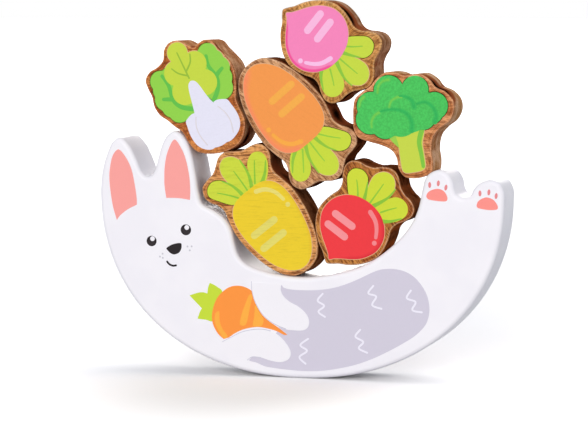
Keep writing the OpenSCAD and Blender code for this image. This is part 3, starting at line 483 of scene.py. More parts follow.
radishShape = {
    "width": 42, "height": 58,
    "half": [(0, -29.4), (2.5, -28), (5, -26), (9, -23.7), (13, -20.4), (16.6, -16), (18.7, -11),
             (18.8, -6), (17.7, -1), (16.2, 3.3), (16.8, 7), (19, 10.5), (20.5, 14.5), (19.4, 18.3),
             (16, 20.5), (12, 21.2), (8.5, 22.5), (5.5, 25), (2.5, 26.9), (0, 27.3)],
    "root": [(0, -26.8), (2, -24.9), (5, -22.7), (9, -20), (13, -16.4), (15.9, -11.5), (16.7, -7),
             (15.7, -2), (12.6, 2.6), (8.2, 5.8), (4, 7.1), (0, 7.5)],
    "leaves": [
        [(-3, 5), (-4, 9), (-5.8, 13.5), (-8, 17), (-12, 18.2), (-15.9, 16.2), (-16.7, 12.2), (-14, 8),
         (-9.5, 4)],
        [(3, 6), (4.6, 10), (6, 14), (8.6, 17.4), (12, 18.6), (15.4, 17.8), (17.7, 15), (17.6, 11.4),
         (15.4, 7.6), (11.6, 4.6), (7, 4)],
        [(3, 5), (4.4, 10), (6.3, 16), (6, 20), (3.6, 23.6), (0.2, 24.8), (-3.2, 23.7), (-5.6, 20.4),
         (-5.8, 16.5), (-4.4, 11), (-3, 5)]],
    "shades": [[(-6.6, 15), (-4.4, 10.5), (-2.6, 6)], [(6.4, 20.5), (6, 15.6), (4.4, 11.4), (2.4, 7.4)],
               [(17, 10.8), (13.6, 6.6), (10.5, 4.2)]],
    "veins": [[(-11.6, 12.6), (-8.8, 9.6), (-6.4, 6.4)], [(0.2, 19), (0.2, 13), (0.2, 7)],
              [(12, 13.6), (9.6, 10.6), (7.2, 7.2)]],
    "bars": [[(-10.4, -7), (-0.2, -6.9)], [(-10.4, -13.3), (-0.2, -13.3)]],
    "arc": [(3, 4.1), (7.4, 2.2), (10.4, -0.8), (12.4, -4.2)], "dot": (13.4, -6.8),
}


def blockPlace(node, loop, turn):
    # where the turned outline has to lie to fill the box of its node
    low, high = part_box(node)
    lying = turnedLoop(loop, turn)
    x = (low.x + high.x) / 2 / mm - (max(p[0] for p in lying) + min(p[0] for p in lying)) / 2
    z = (low.z + high.z) / 2 / mm - (max(p[1] for p in lying) + min(p[1] for p in lying)) / 2
    return Matrix.Translation((x * mm, 0, z * mm)) @ Matrix.Rotation(radians(-turn), 4, "Y")


def blockPlate(look, drawn, width, height, prints):
    # the board of a block under its prints, stretched to its size from the outline as drawn
    fit = (width / span(drawn, 0), height / span(drawn, 1))
    loop = stretched(drawn, fit)
    place = blockPlace(look["node"], loop, look["turn"])
    name, wood, lean = look["name"], look["wood"], look["turn"] + look["wood"]["grainLean"]
    board = plate(name + "Board", loop, blockShape["thickness"], blockShape["edge"], blockShape["rim"],
                  [sandedBeech(name + "SandedBeech", wood, lean, place.translation),
                   laserCutBeech(name + "LaserCutBeech", wood)], place, look["scorchesAndShadows"])
    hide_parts(look["node"])
    # every colour is printed on a pale ground that shows as a hair line round it
    ground = printInk(name + "GroundInk", wood["ground"], lean=lean, grain=0.2)
    ink(name + "Ground", [stretched(inset(loop, -blockShape["ground"]), fit) for loop in prints],
        blockShape["thickness"], 0, ground, place)
    return place, fit


def rootBlock(look, shape):
    steps = blockShape["printSteps"]
    leaves = [smoothLoop(leaf, steps) for leaf in shape["leaves"]]
    root = smoothLoop(mirrored(shape["root"]), steps)
    drawn = smoothLoop(mirrored(shape["half"]), blockShape["outlineSteps"])
    place, fit = blockPlate(look, drawn, shape["width"], shape["height"], [*leaves, root])
    name, depth, lean = look["name"], blockShape["thickness"], look["turn"] + look["wood"]["grainLean"]

    def rootRim(x, z):
        # 1 on the shaded side of the root, which fades out towards its tip and its leaves
        bowed = x + blockShape["rimBow"] * abs(z - blockShape["rimMiddle"])
        return max(0, min(1, (bowed - look["rimFrom"]) / blockShape["rimFade"]))

    inks = [
        ("Leaves", leaves, 1, "leaf", {}),
        ("LeafShades", [stroke(line, blockShape["shadeWidth"], (0.25, 1)) for line in shape["shades"]], 2,
         "leafShade", {}),
        ("LeafVeins", [stroke(line, blockShape["veinWidth"], (0.6, 1.2)) for line in shape["veins"]], 2,
         "leafVein", {}),
        ("Root", [root], 3, "root", {"rim": look["rimShare"], "rimSide": rootRim}),
        ("Bars", [stroke(line, blockShape["barWidth"]) for line in shape["bars"]], 4, "bars", {}),
        ("Shine", [stroke(shape["arc"], blockShape["shineWidth"], (1.1, 0.8)),
                   ring(shape["dot"], blockShape["dotRadius"])], 4, "shine", {}),
    ]
    for part, loops, level, colour, rim in inks:
        material = printInk(name + part + "Ink", look[colour], lean, look["grain"],
                            rimColour=look["rim"] if rim else None, rimSharp=look["rimSharp"])
        ink(name + part, [stretched(loop, fit) for loop in loops], depth, level, material, place, **rim)


beech = {
    "light": "#e0ac7c", "mid": "#c88c5a", "dark": "#74401f", "lines": 0.75, "ticks": 0.42,
    # edge colours the painted highlight on the rounded edge
    "edge": "#f6d3ae", "rimDark": "#562a12", "rimLine": 0.85, "ground": "#e2b98c",
    # the burnt colours on the wall stand for burn and also paint shade into its hollows and shadow into its
    # dark patches
    "wall": "#c2906a", "wallDark": "#8f5a38", "hollowBurnAndShadeShare": 0.92, "burntAndShadeBrown": "#a05430", "sootAndShadowBlack": "#100703",
}

# edge colours the painted edge highlight; scorches are burn marks and painted shadows on the wall
blocks = {
    "yellowCarrot": {
        "name": "yellowCarrot", "node": "yellow_carrot_block", "turn": 38, "grain": 0.3,
        "leaf": "#cedd3e", "leafShade": "#90c83a", "leafVein": "#8cc83a",
        "root": "#efd02a", "rim": "#ebc42c", "rimShare": 0.12, "rimFrom": 12, "rimSharp": 0.8,
        "bars": "#e6dc6c", "shine": "#ecdf74",
        "wood": {**beech, "grainLean": 54, "light": "#efac66", "mid": "#d68c4c", "lines": 0.9, "ticks": 0.2,
                 "wall": "#9c6440", "wallDark": "#6a3a1e"},
        "scorchesAndShadows": [(23, 8, -2, 12, 12)]},
    "redRadish": {
        "name": "redRadish", "node": "red_radish_block", "turn": -36, "grain": 0.06,
        "leaf": "#d0de38", "leafShade": "#8ac438", "leafVein": "#93cb3a",
        "root": "#f03a40", "rim": "#dd2d38", "rimShare": 0.16, "rimFrom": 9, "rimSharp": 0.8,
        "bars": "#f9969a", "shine": "#f58a8e",
        "wood": {**beech, "grainLean": 70, "light": "#d18e46", "mid": "#b2662a", "dark": "#5f2a10",
                 "lines": 0.9, "ticks": 0.2, "wall": "#9a5c36", "wallDark": "#643418", "burntAndShadeBrown": "#c06832"},
        "scorchesAndShadows": [(17, -14, 0, 14, 16)]},
    "orangeCarrot": {
        "name": "orangeCarrot", "node": "orange_carrot_block", "turn": -140, "grain": 0.08,
        "leaf": "#cade3c", "leafShade": "#92c83c", "leafVein": "#97cf3f",
        "root": "#f79b4c", "rim": "#fb8d60", "rimShare": 0.2, "rimFrom": 9, "rimSharp": 0.9,
        "bars": "#f8b04a", "shine": "#fbae44",
        "wood": {**beech, "grainLean": 14, "lines": 0.8, "wall": "#8e5533", "wallDark": "#4a2412"},
        "scorchesAndShadows": [(-20, 10, 0, 9, 16), (-18, -20, -8, 12, 4)]},
    "pinkRadish": {
        "name": "pinkRadish", "node": "pink_radish_block", "turn": -129, "grain": 0.05,
        "leaf": "#c8dd42", "leafShade": "#8cc83e", "leafVein": "#93cc40",
        "root": "#f988bd", "rim": "#f5529a", "rimShare": 0.15, "rimFrom": 7, "rimSharp": 0.35,
        "bars": "#fdbde2", "shine": "#fdc4ea",
        "wood": {**beech, "grainLean": 84, "light": "#e6aa62", "mid": "#cc8a44", "dark": "#6c3b18",
                 "ticks": 0.55, "lines": 0.45, "edge": "#eec896", "wall": "#d4a480", "wallDark": "#9c6a46"},
        "scorchesAndShadows": [(-20.5, -2.5, -11, 15, 16), (12, 20, -10, 11, 11)]},
}

for name, shape in (("yellowCarrot", carrotShape), ("redRadish", radishShape),
                    ("orangeCarrot", carrotShape), ("pinkRadish", radishShape)):
    rootBlock(blocks[name], shape)
    print(name, "made")


# Bok choy

bokChoy = {
    "name": "bokChoy", "node": "bok_choy_block", "turn": 26, "width": 46.5, "height": 62,
    "loop": [(2, -31), (8.5, -30.4), (13.5, -26.8), (16.6, -21), (16.9, -15), (17.2, -10), (19.5, -5),
             (22, 1), (22.8, 7), (21.3, 12.5), (19.6, 17), (18.4, 21.3), (15, 23.8), (11, 23.5), (8.2, 22.6),
             (5.8, 25.5), (2.5, 29.4), (-2, 30.5), (-6.2, 28.4), (-9, 24), (-13, 22.2), (-18, 21.7),
             (-21.8, 18.8), (-22.4, 14), (-22.3, 10), (-23.4, 5), (-22.6, 0), (-20.2, -4), (-18, -8.5),
             (-15.6, -12.5), (-15, -18), (-13.6, -23.5), (-9.5, -27.3), (-4, -29.8)],
    "sideLeaves": [(-14.6, 14.9, 5.4), (-15.6, 10.4, 5), (-15.8, 5.6, 5.9), (-14.6, 1, 5.4),
                   (-12, -2.6, 5.8), (-8, -3.8, 4.6), (13.8, 16.8, 5.2), (15.6, 12.6, 4.9), (16, 8, 5.8),
                   (15.2, 3, 5.6), (13, -1.6, 5.9), (9.4, -3.2, 4.4), (-8, 12, 8), (8, 12, 8)],
    "frontLeaf": [(-0.3, 23.8, 5.3), (-5.3, 15, 6.3), (5.5, 15.2, 6.3), (-5.2, 4.8, 6.6), (6.2, 4.6, 6.5)],
    "leafShades": [[(-12.6, 17), (-11.6, 11), (-12.6, 4), (-10.4, -1), (-5.4, -4.6)],
                   [(12.6, 16), (11.6, 11), (13, 4), (10.8, -1.4), (6.4, -5.6)],
                   [(-17, 6.2), (-14.4, 5), (-12, 3.8)], [(17.4, 7), (15, 6), (12.6, 4.6)]],
    "veins": [[(-0.4, 24), (-0.3, 17), (-0.2, 10)], [(-6.4, 18), (-4.2, 14.4), (-0.4, 11.4)],
              [(5.4, 20.4), (3.8, 16.8), (0.2, 13.8)]],
    "stalk": [(0, 8.3), (-1.9, 7.2), (-3.1, 4), (-4.3, -2), (-5.6, -8), (-7.6, -15), (-8, -20),
              (-5.6, -25.6), (0.6, -27.4), (7, -25.4), (9.2, -20), (8.6, -15), (6.4, -8), (4.4, -2),
              (3.2, 4), (2, 7.2)],
    "petals": [
        [(-10.6, -8.2), (-11.8, -12), (-12.1, -17), (-11, -22), (-8, -25.6), (-4, -27), (-2, -24), (-4, -8)],
        [(12.2, -7.4), (13.9, -11), (14.8, -17), (13.8, -21.8), (10.6, -25.2), (5, -27.2), (2, -24),
         (5, -7.2)]],
    "petalLines": [[(-5.5, -9), (-7.4, -13.4), (-7.6, -18.4), (-6.2, -24)],
                   [(7.2, -9), (9.3, -13.4), (10, -18.4), (8.8, -24)]],
    "shadeWidth": 2.4, "lineWidth": 0.8, "grain": 0.05,
    "colours": {"SideLeaves": "#92d54a", "LeafShades": "#62c24b", "FrontLeaf": "#c8dc44",
                "Veins": "#96bf3b", "Stalk": "#e9e9f8", "PetalLines": "#ded8dc"},
    # edge colours the painted edge highlight; scorches are burn marks and painted shadows on the wall
    "wood": {**beech, "grainLean": 75, "light": "#de904c", "mid": "#ba662c", "dark": "#692c10",
             "edge": "#f6bd94", "ticks": 0.35, "lines": 0.7, "wall": "#f0ba8c", "wallDark": "#c68658"},
    "scorchesAndShadows": [(19, 17, -10, 6, 2.5), (10, -28, -3, 8, 4)],
}


def makeBokChoy(look):
    sides, front = lobes(look["sideLeaves"], (0, 6)), lobes(look["frontLeaf"], (0, 11))
    whites = [smoothLoop(points, 5) for points in [*look["petals"], look["stalk"]]]
    drawn = smoothLoop(look["loop"], blockShape["outlineSteps"])
    place, fit = blockPlate(look, drawn, look["width"], look["height"], [sides, front])
    inks = [
        ("SideLeaves", [sides], 1),
        ("LeafShades", [stroke(line, look["shadeWidth"], (0.7, 1)) for line in look["leafShades"]], 2),
        ("FrontLeaf", [front], 3),
        ("Veins", [stroke(line, look["lineWidth"], (0.8, 1.1)) for line in look["veins"]], 4),
        ("Stalk", whites, 4),
        ("PetalLines", [stroke(line, look["lineWidth"], (0.6, 0.8)) for line in look["petalLines"]], 5),
    ]
    for part, loops, level in inks:
        material = printInk("bokChoy" + part + "Ink", look["colours"][part],
                            look["turn"] + look["wood"]["grainLean"], look["grain"])
        ink("bokChoy" + part, [stretched(loop, fit) for loop in loops], blockShape["thickness"], level,
            material, place)


makeBokChoy(bokChoy)
print("bokChoy made")


# Broccoli

broccoli = {
    "name": "broccoli", "node": "broccoli_block", "turn": 11, "width": 52, "height": 54,
    "loop": [(0, -29), (5, -29), (8.9, -27.3), (10.4, -22.5), (10.8, -16.5), (13, -11), (17, -7.6), (22, -5),
             (25.2, -0.5), (25.4, 4.5), (22.6, 9), (18.4, 12), (16.2, 16), (12.5, 19.4), (8, 20.2), (4, 20.4),
             (0.5, 22.4), (-4.5, 23.5), (-9, 21.7), (-13, 18.5), (-17.5, 16.4), (-21.6, 13.8), (-23.4, 9.5),
             (-24.5, 4), (-25, -0.5), (-23.4, -5), (-18.5, -7.9), (-13, -10.6), (-8.6, -13.8), (-6.8, -18),
             (-6.8, -23), (-4.6, -27.4)],
    "head": [(-4.4, 14.6, 7.3), (8.4, 12.7, 6.6), (16.2, 3.4, 6.6), (14.2, 0.8, 5.8), (9.8, -0.7, 6.3),
             (4.4, -0.2, 7), (-1, 0.2, 8.6), (-9, -1, 7), (-15.8, 2.6, 7.1), (-14.4, 8.8, 6.9)],
    "lights": [[(-9.9, 14.5), (-8.9, 17.5), (-6.4, 19.5), (-3.4, 19.7)],
               [(-5.5, 6.9), (-3.9, 9.5), (-0.7, 10.7), (1.4, 10.5)],
               [(-15.8, -1.2), (-15.3, 1.6), (-13.3, 4.1), (-11, 5.1)],
               [(-20, 9.6), (-18.8, 12.2), (-17, 13.7)]],
    "darks": [[(-12.4, 5), (-7.5, 5.7), (-1.8, 4.8), (2.1, 2.4), (4, -1.9), (3.3, -6)],
              [(7.9, 5.9), (12.2, 6), (15.3, 3.1), (16.4, -1), (15.1, -3.9)],
              [(0.4, 11), (3.6, 10.1), (6, 7.7), (6.5, 4.7)]],
    "stem": [(-4.5, -6), (-4.4, -12), (-4.8, -18), (-4.8, -23.6), (-3.4, -25.6), (0, -26), (4.6, -25.8),
             (6.6, -24), (7, -18), (7.2, -13), (9, -6), (2, -3)],
    "branch": [(-8.8, -7), (-7.2, -9.8), (-4.2, -13.8), (-4, -7)],
    "stemShade": [(8.2, -6.6), (5.8, -12), (5.7, -18), (5.6, -24)],
    "stemShadeWidth": 1.9, "arcWidth": 1.6, "softDarkWidth": 3, "softLightWidth": 3.4, "grain": 0.05,
    "colours": {"Branch": "#9bd24a", "Stem": "#c8da48", "StemShade": "#7fc741", "Head": "#4acc5d",
                "SoftDarks": "#3dc05a", "Darks": "#30b858", "SoftLights": "#57ca5a", "Lights": "#72cf50"},
    # edge colours the painted edge highlight; scorches are burn marks and painted shadows on the wall
    "wood": {**beech, "grainLean": 78, "light": "#f0aa72", "mid": "#cc7e46", "dark": "#7c3c18",
             "edge": "#f4be94", "ticks": 0.35, "lines": 0.65, "wall": "#ecbe94", "wallDark": "#c8925e"},
    "scorchesAndShadows": [(21, 12.5, -11, 14, 16)],
}


def makeBroccoli(look):
    head, stem = lobes(look["head"], (0, 5)), smoothLoop(look["stem"], 5)
    drawn = smoothLoop(look["loop"], blockShape["outlineSteps"])
    place, fit = blockPlate(look, drawn, look["width"], look["height"], [head, stem])
    inks = [
        ("Branch", [smoothLoop(look["branch"], 5, corners=(0, 2, 3))], 1, 0.05),
        ("Stem", [stem], 2, 0.05),
        ("StemShade", [stroke(look["stemShade"], look["stemShadeWidth"], (1.3, 0.9))], 3, 0.05),
        ("Head", [head], 4, 0.5),
        ("SoftDarks", [stroke(line, look["softDarkWidth"], (0.5, 1)) for line in look["darks"]], 5, 0.3),
        ("Darks", [stroke(line, look["arcWidth"], (0.4, 1)) for line in look["darks"]], 6, 0.3),
        ("SoftLights", [stroke(line, look["softLightWidth"], (0.5, 0.7)) for line in look["lights"]], 5,
         0.25),
        ("Lights", [stroke(line, look["arcWidth"], (0.5, 0.7)) for line in look["lights"]], 6, 0.25),
    ]
    for part, loops, level, mottle in inks:
        material = printInk("broccoli" + part + "Ink", look["colours"][part],
                            look["turn"] + look["wood"]["grainLean"], look["grain"], mottle)
        ink("broccoli" + part, [stretched(loop, fit) for loop in loops], blockShape["thickness"], level,
            material, place)


makeBroccoli(broccoli)
print("broccoli made")


# Rabbit

rabbit = {
    "width": 208, "thickness": 28, "edge": 2.2, "rim": 0.3, "widestHeight": 92, "seatHeight": 50.5,
    "earHeight": 122.5, "footHeight": 105.3, "fullness": 2.15, "rockerPoints": 24, "outlineSteps": 8,
    "white": "#f6f5f9", "whiteShade": "#f3f2f7", "earPink": "#fca69f", "padPink": "#ff968c",
    "toePink": "#e98b8c", "belly": "#d4d0de", "mark": "#f1effa", "black": "#1d171b", "eyeGrey": "#2b2427",
    "whisker": "#cfcfd6", "armLine": "#d0cfdc", "carrot": "#fe9840", "carrotLight": "#ffb244",
    "carrotDark": "#ec8632", "leaf": "#c8e03c",
}


def rabbitTop(seat, foot, ear, widest):
    # from the soles over the seat to the ears
    return [
        (104, widest), (103.2, foot - 9), (101, foot - 5.7), (96.5, foot - 4.5), (91.5, foot - 6.2),
        (88.7, foot - 9), (86.8, foot - 12.4), (83.5, foot - 13.4), (80.4, foot - 12.2), (79.1, foot - 9.4),
        (78.3, foot - 5.8), (76, foot - 2), (72, foot), (67.5, foot - 1.3), (64.4, foot - 4.5),
        (62.9, foot - 10.5), (61.2, foot - 18.5), (58.3, seat + 29.3), (53.5, seat + 22.3), (47, seat + 16),
        (39.5, seat + 10.3), (31, seat + 5.8), (21, seat + 2.8), (10, seat + 0.7), (0, seat),
        (-10, seat + 0.9), (-20, seat + 3.2), (-27, seat + 6), (-31, seat + 9.9), (-33.2, seat + 15.6),
        (-35.2, seat + 23.1), (-38.7, seat + 28.5), (-44, seat + 32.3), (-50, ear - 36.5),
        (-52.1, ear - 30.5), (-53.4, ear - 21.5), (-55.4, ear - 12.5), (-59, ear - 4.2), (-63.8, ear),
        (-68.4, ear - 2.4),
        (-71.4, ear - 7.5), (-73.4, ear - 14.5), (-75.4, ear - 21), (-78.8, ear - 23.2), (-82, ear - 20.6),
        (-84.8, ear - 14.5), (-88.2, ear - 8), (-93, ear - 3.7), (-97.6, ear - 6), (-100.7, ear - 12.5),
        (-102.9, ear - 20), (-104, widest)]


def rocker(width, widest, fullness, count):
    # the curved underside, a half of a slightly squared ellipse
    def side(c, size):
        return (1 if c > 0 else -1) * size * abs(c) ** (2 / fullness)
    angles = [pi + pi * i / count for i in range(1, count)]
    return [(side(cos(a), width / 2), widest + side(sin(a), widest)) for a in angles]


rabbitPrint = {
    "markWidth": 0.95, "armLineWidth": 0.5, "mouthWidth": 1, "whiskerRadius": 0.5,
    "toeRadius": 1.45, "toeSqueeze": 0.5, "eyeGreyShift": (0.1, -0.5), "eyeGreyShare": 0.72,
    "eyeGlintShift": (0.5, 1.2), "eyeGlintRadius": 1.22,
    "ears": [
        ([(-94.9, 77), (-93, 79.5), (-89, 82.6), (-84.2, 85), (-84.2, 88), (-85.2, 95), (-87, 103),
          (-90, 109), (-93.8, 112.8), (-97, 109.5), (-98.5, 103), (-98.8, 98), (-98.3, 92), (-97, 84)],
         (0, 3)),
        ([(-68.5, 88.8), (-62, 88.8), (-56, 88), (-55.8, 93), (-56.3, 100), (-58, 108), (-60.5, 114),
          (-64.2, 118.2), (-67.7, 112), (-69.2, 105), (-69.5, 98), (-69.3, 94)], (0, 2))],
    "eyes": [((-76.4, 66.8), 2.65), ((-58.2, 72.9), 2.75)],
    "nose": [(-68.5, 63.4), (-68, 62.4), (-66.5, 61), (-64.5, 60.3), (-62, 61.2), (-60.7, 63.2),
             (-60.5, 65.3), (-61, 66.1), (-63, 66), (-66, 65.1)],
    "mouth": [(-68.2, 56.6), (-67, 55.3), (-65.2, 54.6), (-63.5, 54.8)],
    "whiskers": [(-70.6, 60.5), (-72, 59), (-70.5, 58.4), (-57.4, 64.5), (-55.2, 64.6), (-56.2, 62.6)],
    "leaves": [(-39, 41), (-41.8, 44.6), (-45.7, 46.5), (-46.6, 44), (-47, 41), (-49, 41.6), (-52, 41.3),
               (-56.4, 39.8), (-52.5, 36), (-49.9, 33.5), (-51, 31.5), (-52.2, 28.2), (-48, 27.8),
               (-43, 28)],
    "carrot": [(-39.2, 42), (-41.8, 39), (-43.6, 35), (-44.6, 30), (-44, 25.5), (-41.5, 21), (-38, 18),
               (-36, 19), (-32.5, 21.5), (-28, 23.6), (-23, 24.8), (-19, 25), (-14, 24.2), (-10.5, 23.2),
               (-7, 21.6), (-5.2, 21.7), (-7.5, 23.4), (-10.5, 25.5), (-14.5, 28), (-18, 31), (-21, 35.5),
               (-22.8, 39.5), (-23.7, 43), (-27.5, 45), (-31.5, 45.5), (-35.5, 44.6)],
    "carrotLights": [
        [(-25, 41), (-23.4, 40.6), (-24.8, 34), (-26.6, 26.4), (-29.8, 26), (-29, 31), (-27, 36.5)],
        [(-21.8, 36), (-20, 33), (-17.6, 29), (-18.6, 25.8), (-23, 25.6), (-22.4, 30)],
        [(-40.8, 32.2), (-42.8, 31), (-43, 27), (-41.4, 23), (-38.4, 19), (-36.4, 20), (-39, 23.5),
         (-40.5, 27.5)]],
    "belly": [(-8.5, 46), (-7, 45.2), (-3, 44.4), (5, 44.3), (13, 44.9), (20, 46.3), (27, 48.8), (33, 51.5),
              (38, 54), (43, 55.8), (49, 56.2), (55, 55), (60, 52), (64, 47.3), (66.3, 42.5), (67.2, 37),
              (66.5, 32), (64.5, 28), (60, 23.5), (54, 19.5), (47, 15.5), (39, 11.5), (30, 8), (21, 5.7),
              (12, 4.2), (3, 3.8), (-5, 4.1), (-12, 4.7), (-17, 5.4), (-21, 7), (-25.4, 8.6), (-19, 14),
              (-10, 24), (-9, 36)],
    "upperArm": [(-23.8, 47.5), (-23.4, 43), (-22.8, 39.5), (-21, 35.5), (-18, 31), (-14.5, 28.3),
                 (-10.5, 26), (-6, 24.4), (0, 24), (3.5, 24.4), (5.5, 26), (6, 29), (4.5, 32.5),
                 (0.5, 36), (-3.5, 38), (-6.8, 40.5), (-8.5, 43.5), (-8.6, 47.2)],
    "lowerArm": [(-39, 17.2), (-34, 19.8), (-29, 22.3), (-23, 23.6), (-18, 24), (-14, 23.2), (-10, 21.4),
                 (-6.5, 18.2), (-4, 14.5), (-3.5, 11.5), (-5.2, 9), (-9, 7.8), (-14, 8.4), (-19, 9.8),
                 (-23, 10), (-26, 8.2), (-30, 12)],
    "armLines": [[(-23.8, 47.8), (-23.5, 43), (-22, 38), (-19, 32.6), (-14.8, 28.6), (-10.5, 26.2),
                  (-6, 24.6)],
                 [(-39, 17), (-34, 19.7), (-29, 22.2), (-23, 23.7), (-18, 24), (-14, 23.3)],
                 [(-26, 8.2), (-23.4, 9.9), (-19, 9.7)]],
    "marks": [[(13, 42.8), (10.4, 39.3), (13.8, 36.8), (10.8, 33.8), (14.2, 31.3)],
              [(38.8, 47.5), (36.3, 43.8), (40.3, 42.3), (38.3, 38), (43, 36.3)],
              [(57.8, 45.8), (55.8, 42), (60.2, 40.2), (58.6, 36.2), (63.4, 35.2)],
              [(5.5, 20), (1.5, 16.7), (5, 14), (1, 10.7), (4.2, 7.5)],
              [(32.2, 25.5), (29.8, 22), (33.8, 19.5), (31.5, 16.3), (35.8, 14.2)]],
    "pads": [[(65.4, 92.8), (66.5, 94.6), (69, 95.8), (71.5, 96.1), (74, 95.1), (75.5, 93), (75.9, 91.2),
              (75, 90.1), (71.5, 90.1), (67, 90.7), (65.7, 91.5)],
             [(90.4, 88.6), (91.2, 90.5), (93.5, 92), (95.7, 92.4), (98.5, 91.4), (100.2, 89.5),
              (100.9, 87.8), (100.2, 86.6), (96.5, 86.3), (92, 86.9), (90.7, 87.5)]],
    "toes": [((67, 97.9), 0), ((71.3, 98.8), -4), ((75.1, 96.8), -10), ((92, 94.3), 0), ((96.4, 94.9), -4),
             ((100, 93.2), -6)],
}


def makeRabbit(look, drawn):
    here = Matrix.Identity(4)
    (greyX, greyZ), (glintX, glintZ) = drawn["eyeGreyShift"], drawn["eyeGlintShift"]
    top = rabbitTop(look["seatHeight"], look["footHeight"], look["earHeight"], look["widestHeight"])
    curve = rocker(look["width"], look["widestHeight"], look["fullness"], look["rockerPoints"])
    loop = smoothLoop(curve + top, look["outlineSteps"])
    enamel = sprayedEnamel("whiteSprayedEnamel", look["white"], look["whiteShade"])
    board = plate("rabbitBoard", loop, look["thickness"], look["edge"], look["rim"], [enamel, enamel], here)
    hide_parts("rabbit_rocker")
    inks = [
        ("EarLinings", [smoothLoop(points, 6, corners) for points, corners in drawn["ears"]], 1, "earPink"),
        ("Belly", [smoothLoop(drawn["belly"], 5)], 1, "belly"),
        ("BellyMarks", [stroke(line, drawn["markWidth"]) for line in drawn["marks"]], 2, "mark"),
        ("HeldLeaves", [smoothLoop(drawn["leaves"], 5, (2, 4, 7, 9, 11))], 1, "leaf"),
        ("HeldCarrot", [smoothLoop(drawn["carrot"], 5, (6, 15, 21))], 2, "carrot"),
        ("HeldCarrotLights", [smoothLoop(points, 5) for points in drawn["carrotLights"]], 3, "carrotLight"),
        ("Arms", [smoothLoop(drawn["upperArm"], 5, (0, 17)), smoothLoop(drawn["lowerArm"], 5)], 4, "white"),
        ("ArmLines", [stroke(line, drawn["armLineWidth"], (0.6, 0.8)) for line in drawn["armLines"]], 5,
         "armLine"),
        ("Eyes", [ring(at, radius) for at, radius in drawn["eyes"]], 1, "black"),
        ("EyeGreys", [ring((x + greyX, z + greyZ), radius * drawn["eyeGreyShare"])
                      for (x, z), radius in drawn["eyes"]], 2, "eyeGrey"),
        ("EyeGlints", [ring((x + glintX, z + glintZ), drawn["eyeGlintRadius"])
                       for (x, z), _ in drawn["eyes"]], 3, "white"),
        ("Nose", [smoothLoop(drawn["nose"], 5)], 1, "black"),
        ("Mouth", [stroke(drawn["mouth"], drawn["mouthWidth"])], 1, "black"),
        ("Whiskers", [ring(at, drawn["whiskerRadius"], count=12) for at in drawn["whiskers"]], 1,
         "whisker"),
        ("SolePads", [smoothLoop(points, 6) for points in drawn["pads"]], 1, "padPink"),
        ("SoleToes", [ring(at, drawn["toeRadius"], drawn["toeSqueeze"], lean)
                      for at, lean in drawn["toes"]], 1, "toePink"),
    ]
    for part, loops, level, colour in inks:
        material = printInk("rabbit" + part + "Ink", look[colour], grain=0, mottle=0.02)
        ink("rabbit" + part, loops, look["thickness"], level, material, here)


makeRabbit(rabbit, rabbitPrint)
print("rabbit made")


# Floor, light and camera

studio = {
    "world": 0.46, "worldColour": "#eef3ff", "lampColour": "#fffaf6",
    "key": {"strength": 2.0, "side": 2, "height": 14, "softness": 34},
    "top": {"strength": 0.52, "side": 125, "height": 62, "softness": 50},
    "back": {"strength": 0.9, "side": 190, "height": 4, "softness": 24},
    "floorReach": 30, "floorSeen": "#f4f3f0", "floorBounce": "#eef0f6", "bounceGain": 0.6,
    # painted shadow: the paper is shown darker near the shadow's middle and brighter away from it,
    # from the first reach to the second in metres
    "nearGain": 1.27, "nearReach": (0.03, 0.11), "aroundGain": 1.8, "farReach": (0.2, 1.5), "farGain": 2.6,
    "shadeMiddle": (-0.02, -0.015, 0), "shadeSquash": (1, 0.6, 1),
}


def seenRays(tree):
    # 1 for the rays that show a thing to the camera, straight or in a reflection
    rays = addNode(tree, "ShaderNodeLightPath")
    return addNode(tree, "ShaderNodeMath", {
        0: rays.outputs["Is Camera Ray"], 1: rays.outputs["Is Glossy Ray"]}, operation="MAXIMUM").outputs[0]


def paperFloor():
    # matt white studio paper: near the toy it is shown darker, a painted shadow over the cast one;
    # it is burnt out to white away from it, and throws back only as much light as the small sheet
    # under the real one would
    material, tree = newMaterial("whiteStudioPaper")
    place = addNode(tree, "ShaderNodeTexCoord").outputs["Object"]
    place = addNode(tree, "ShaderNodeVectorMath", {0: place, 1: studio["shadeSquash"]},
                    operation="MULTIPLY").outputs[0]
    away = addNode(tree, "ShaderNodeVectorMath", {0: place, 1: studio["shadeMiddle"]},
                   operation="DISTANCE").outputs["Value"]
    # a lower gain near the shadow's middle paints the paper darker there
    gains = [addNode(tree, "ShaderNodeMapRange", {
        "Value": away, "From Min": start, "From Max": end, "To Min": low, "To Max": high,
    }, interpolation_type="SMOOTHSTEP").outputs[0] for start, end, low, high in (
        (*studio["nearReach"], studio["nearGain"], studio["aroundGain"]),
        (*studio["farReach"], 0, studio["farGain"] - studio["aroundGain"]))]
    gain = addNode(tree, "ShaderNodeMath", {0: gains[0], 1: gains[1]}, operation="ADD").outputs[0]
    bright = addNode(tree, "ShaderNodeVectorMath", {0: toLinear(studio["floorSeen"])[:3], "Scale": gain},
                     operation="SCALE").outputs[0]
    dim = tuple(studio["bounceGain"] * part for part in toLinear(studio["floorBounce"])[:3]) + (1,)
    shown = addNode(tree, "ShaderNodeMix", {0: seenRays(tree), 6: dim, 7: bright}, data_type="RGBA")
    paper = addNode(tree, "ShaderNodeBsdfDiffuse", {"Color": shown.outputs[2]})
    addNode(tree, "ShaderNodeOutputMaterial", {"Surface": paper.outputs[0]})
    return material


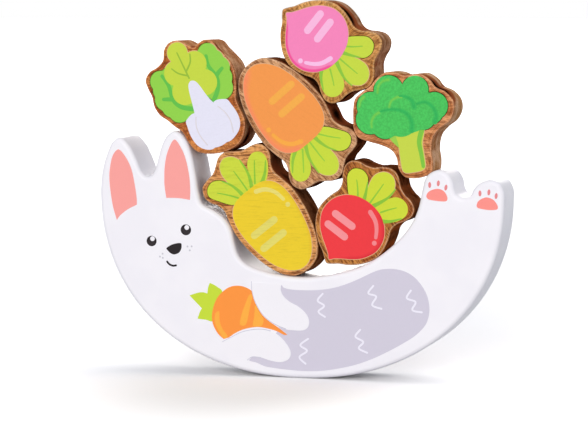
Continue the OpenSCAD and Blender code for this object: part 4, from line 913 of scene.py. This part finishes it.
def addSoftbox(name, box):
    # a far softbox, whose side is counted from the front towards the rabbit's feet
    lamp = bpy.data.lights.new(name, "SUN")
    lamp.energy = box["strength"]
    lamp.angle = radians(box["softness"])
    lamp.color = toLinear(studio["lampColour"])[:3]
    stand = bpy.data.objects.new(name, lamp)
    stand.rotation_euler = (radians(90 - box["height"]), 0, radians(box["side"]))
    bpy.context.scene.collection.objects.link(stand)


def makeStudio():
    mesh = bpy.data.meshes.new("floor")
    reach = studio["floorReach"]
    mesh.from_pydata([(-reach, -reach, 0), (reach, -reach, 0), (reach, reach, 0), (-reach, reach, 0)], [],
                     [(0, 1, 2, 3)])
    mesh.materials.append(paperFloor())
    floor = bpy.data.objects.new("floor", mesh)
    bpy.context.scene.collection.objects.link(floor)

    for name in ("key", "top", "back"):
        addSoftbox(name + "Softbox", studio[name])

    world = bpy.data.worlds.new("studioAir")
    world.use_nodes = True
    tree = world.node_tree
    tree.nodes.clear()
    seen = seenRays(tree)
    strength = addNode(tree, "ShaderNodeMapRange", {"Value": seen, "To Min": studio["world"], "To Max": 1})
    colour = addNode(tree, "ShaderNodeMix", {0: seen, 6: toLinear(studio["worldColour"]), 7: (1, 1, 1, 1)},
                     data_type="RGBA")
    air = addNode(tree, "ShaderNodeBackground", {
        "Color": colour.outputs[2], "Strength": strength.outputs[0]})
    addNode(tree, "ShaderNodeOutputWorld", {"Surface": air.outputs[0]})
    bpy.context.scene.world = world


photoView = {"place": (0.3328, -1.2035, 0.1855), "tilt": 85.07, "turn": 15.71, "lens": 153.06, "sensor": 36}


def makeCamera(view):
    data = bpy.data.cameras.new("photoCamera")
    data.lens = view["lens"]
    data.sensor_width = view["sensor"]
    camera = bpy.data.objects.new("photoCamera", data)
    camera.location = view["place"]
    camera.rotation_euler = (radians(view["tilt"]), 0, radians(view["turn"]))
    bpy.context.scene.collection.objects.link(camera)
    bpy.context.scene.camera = camera


makeStudio()
makeCamera(photoView)
bpy.context.scene.view_settings.view_transform = "Standard"
print("studio and camera made")
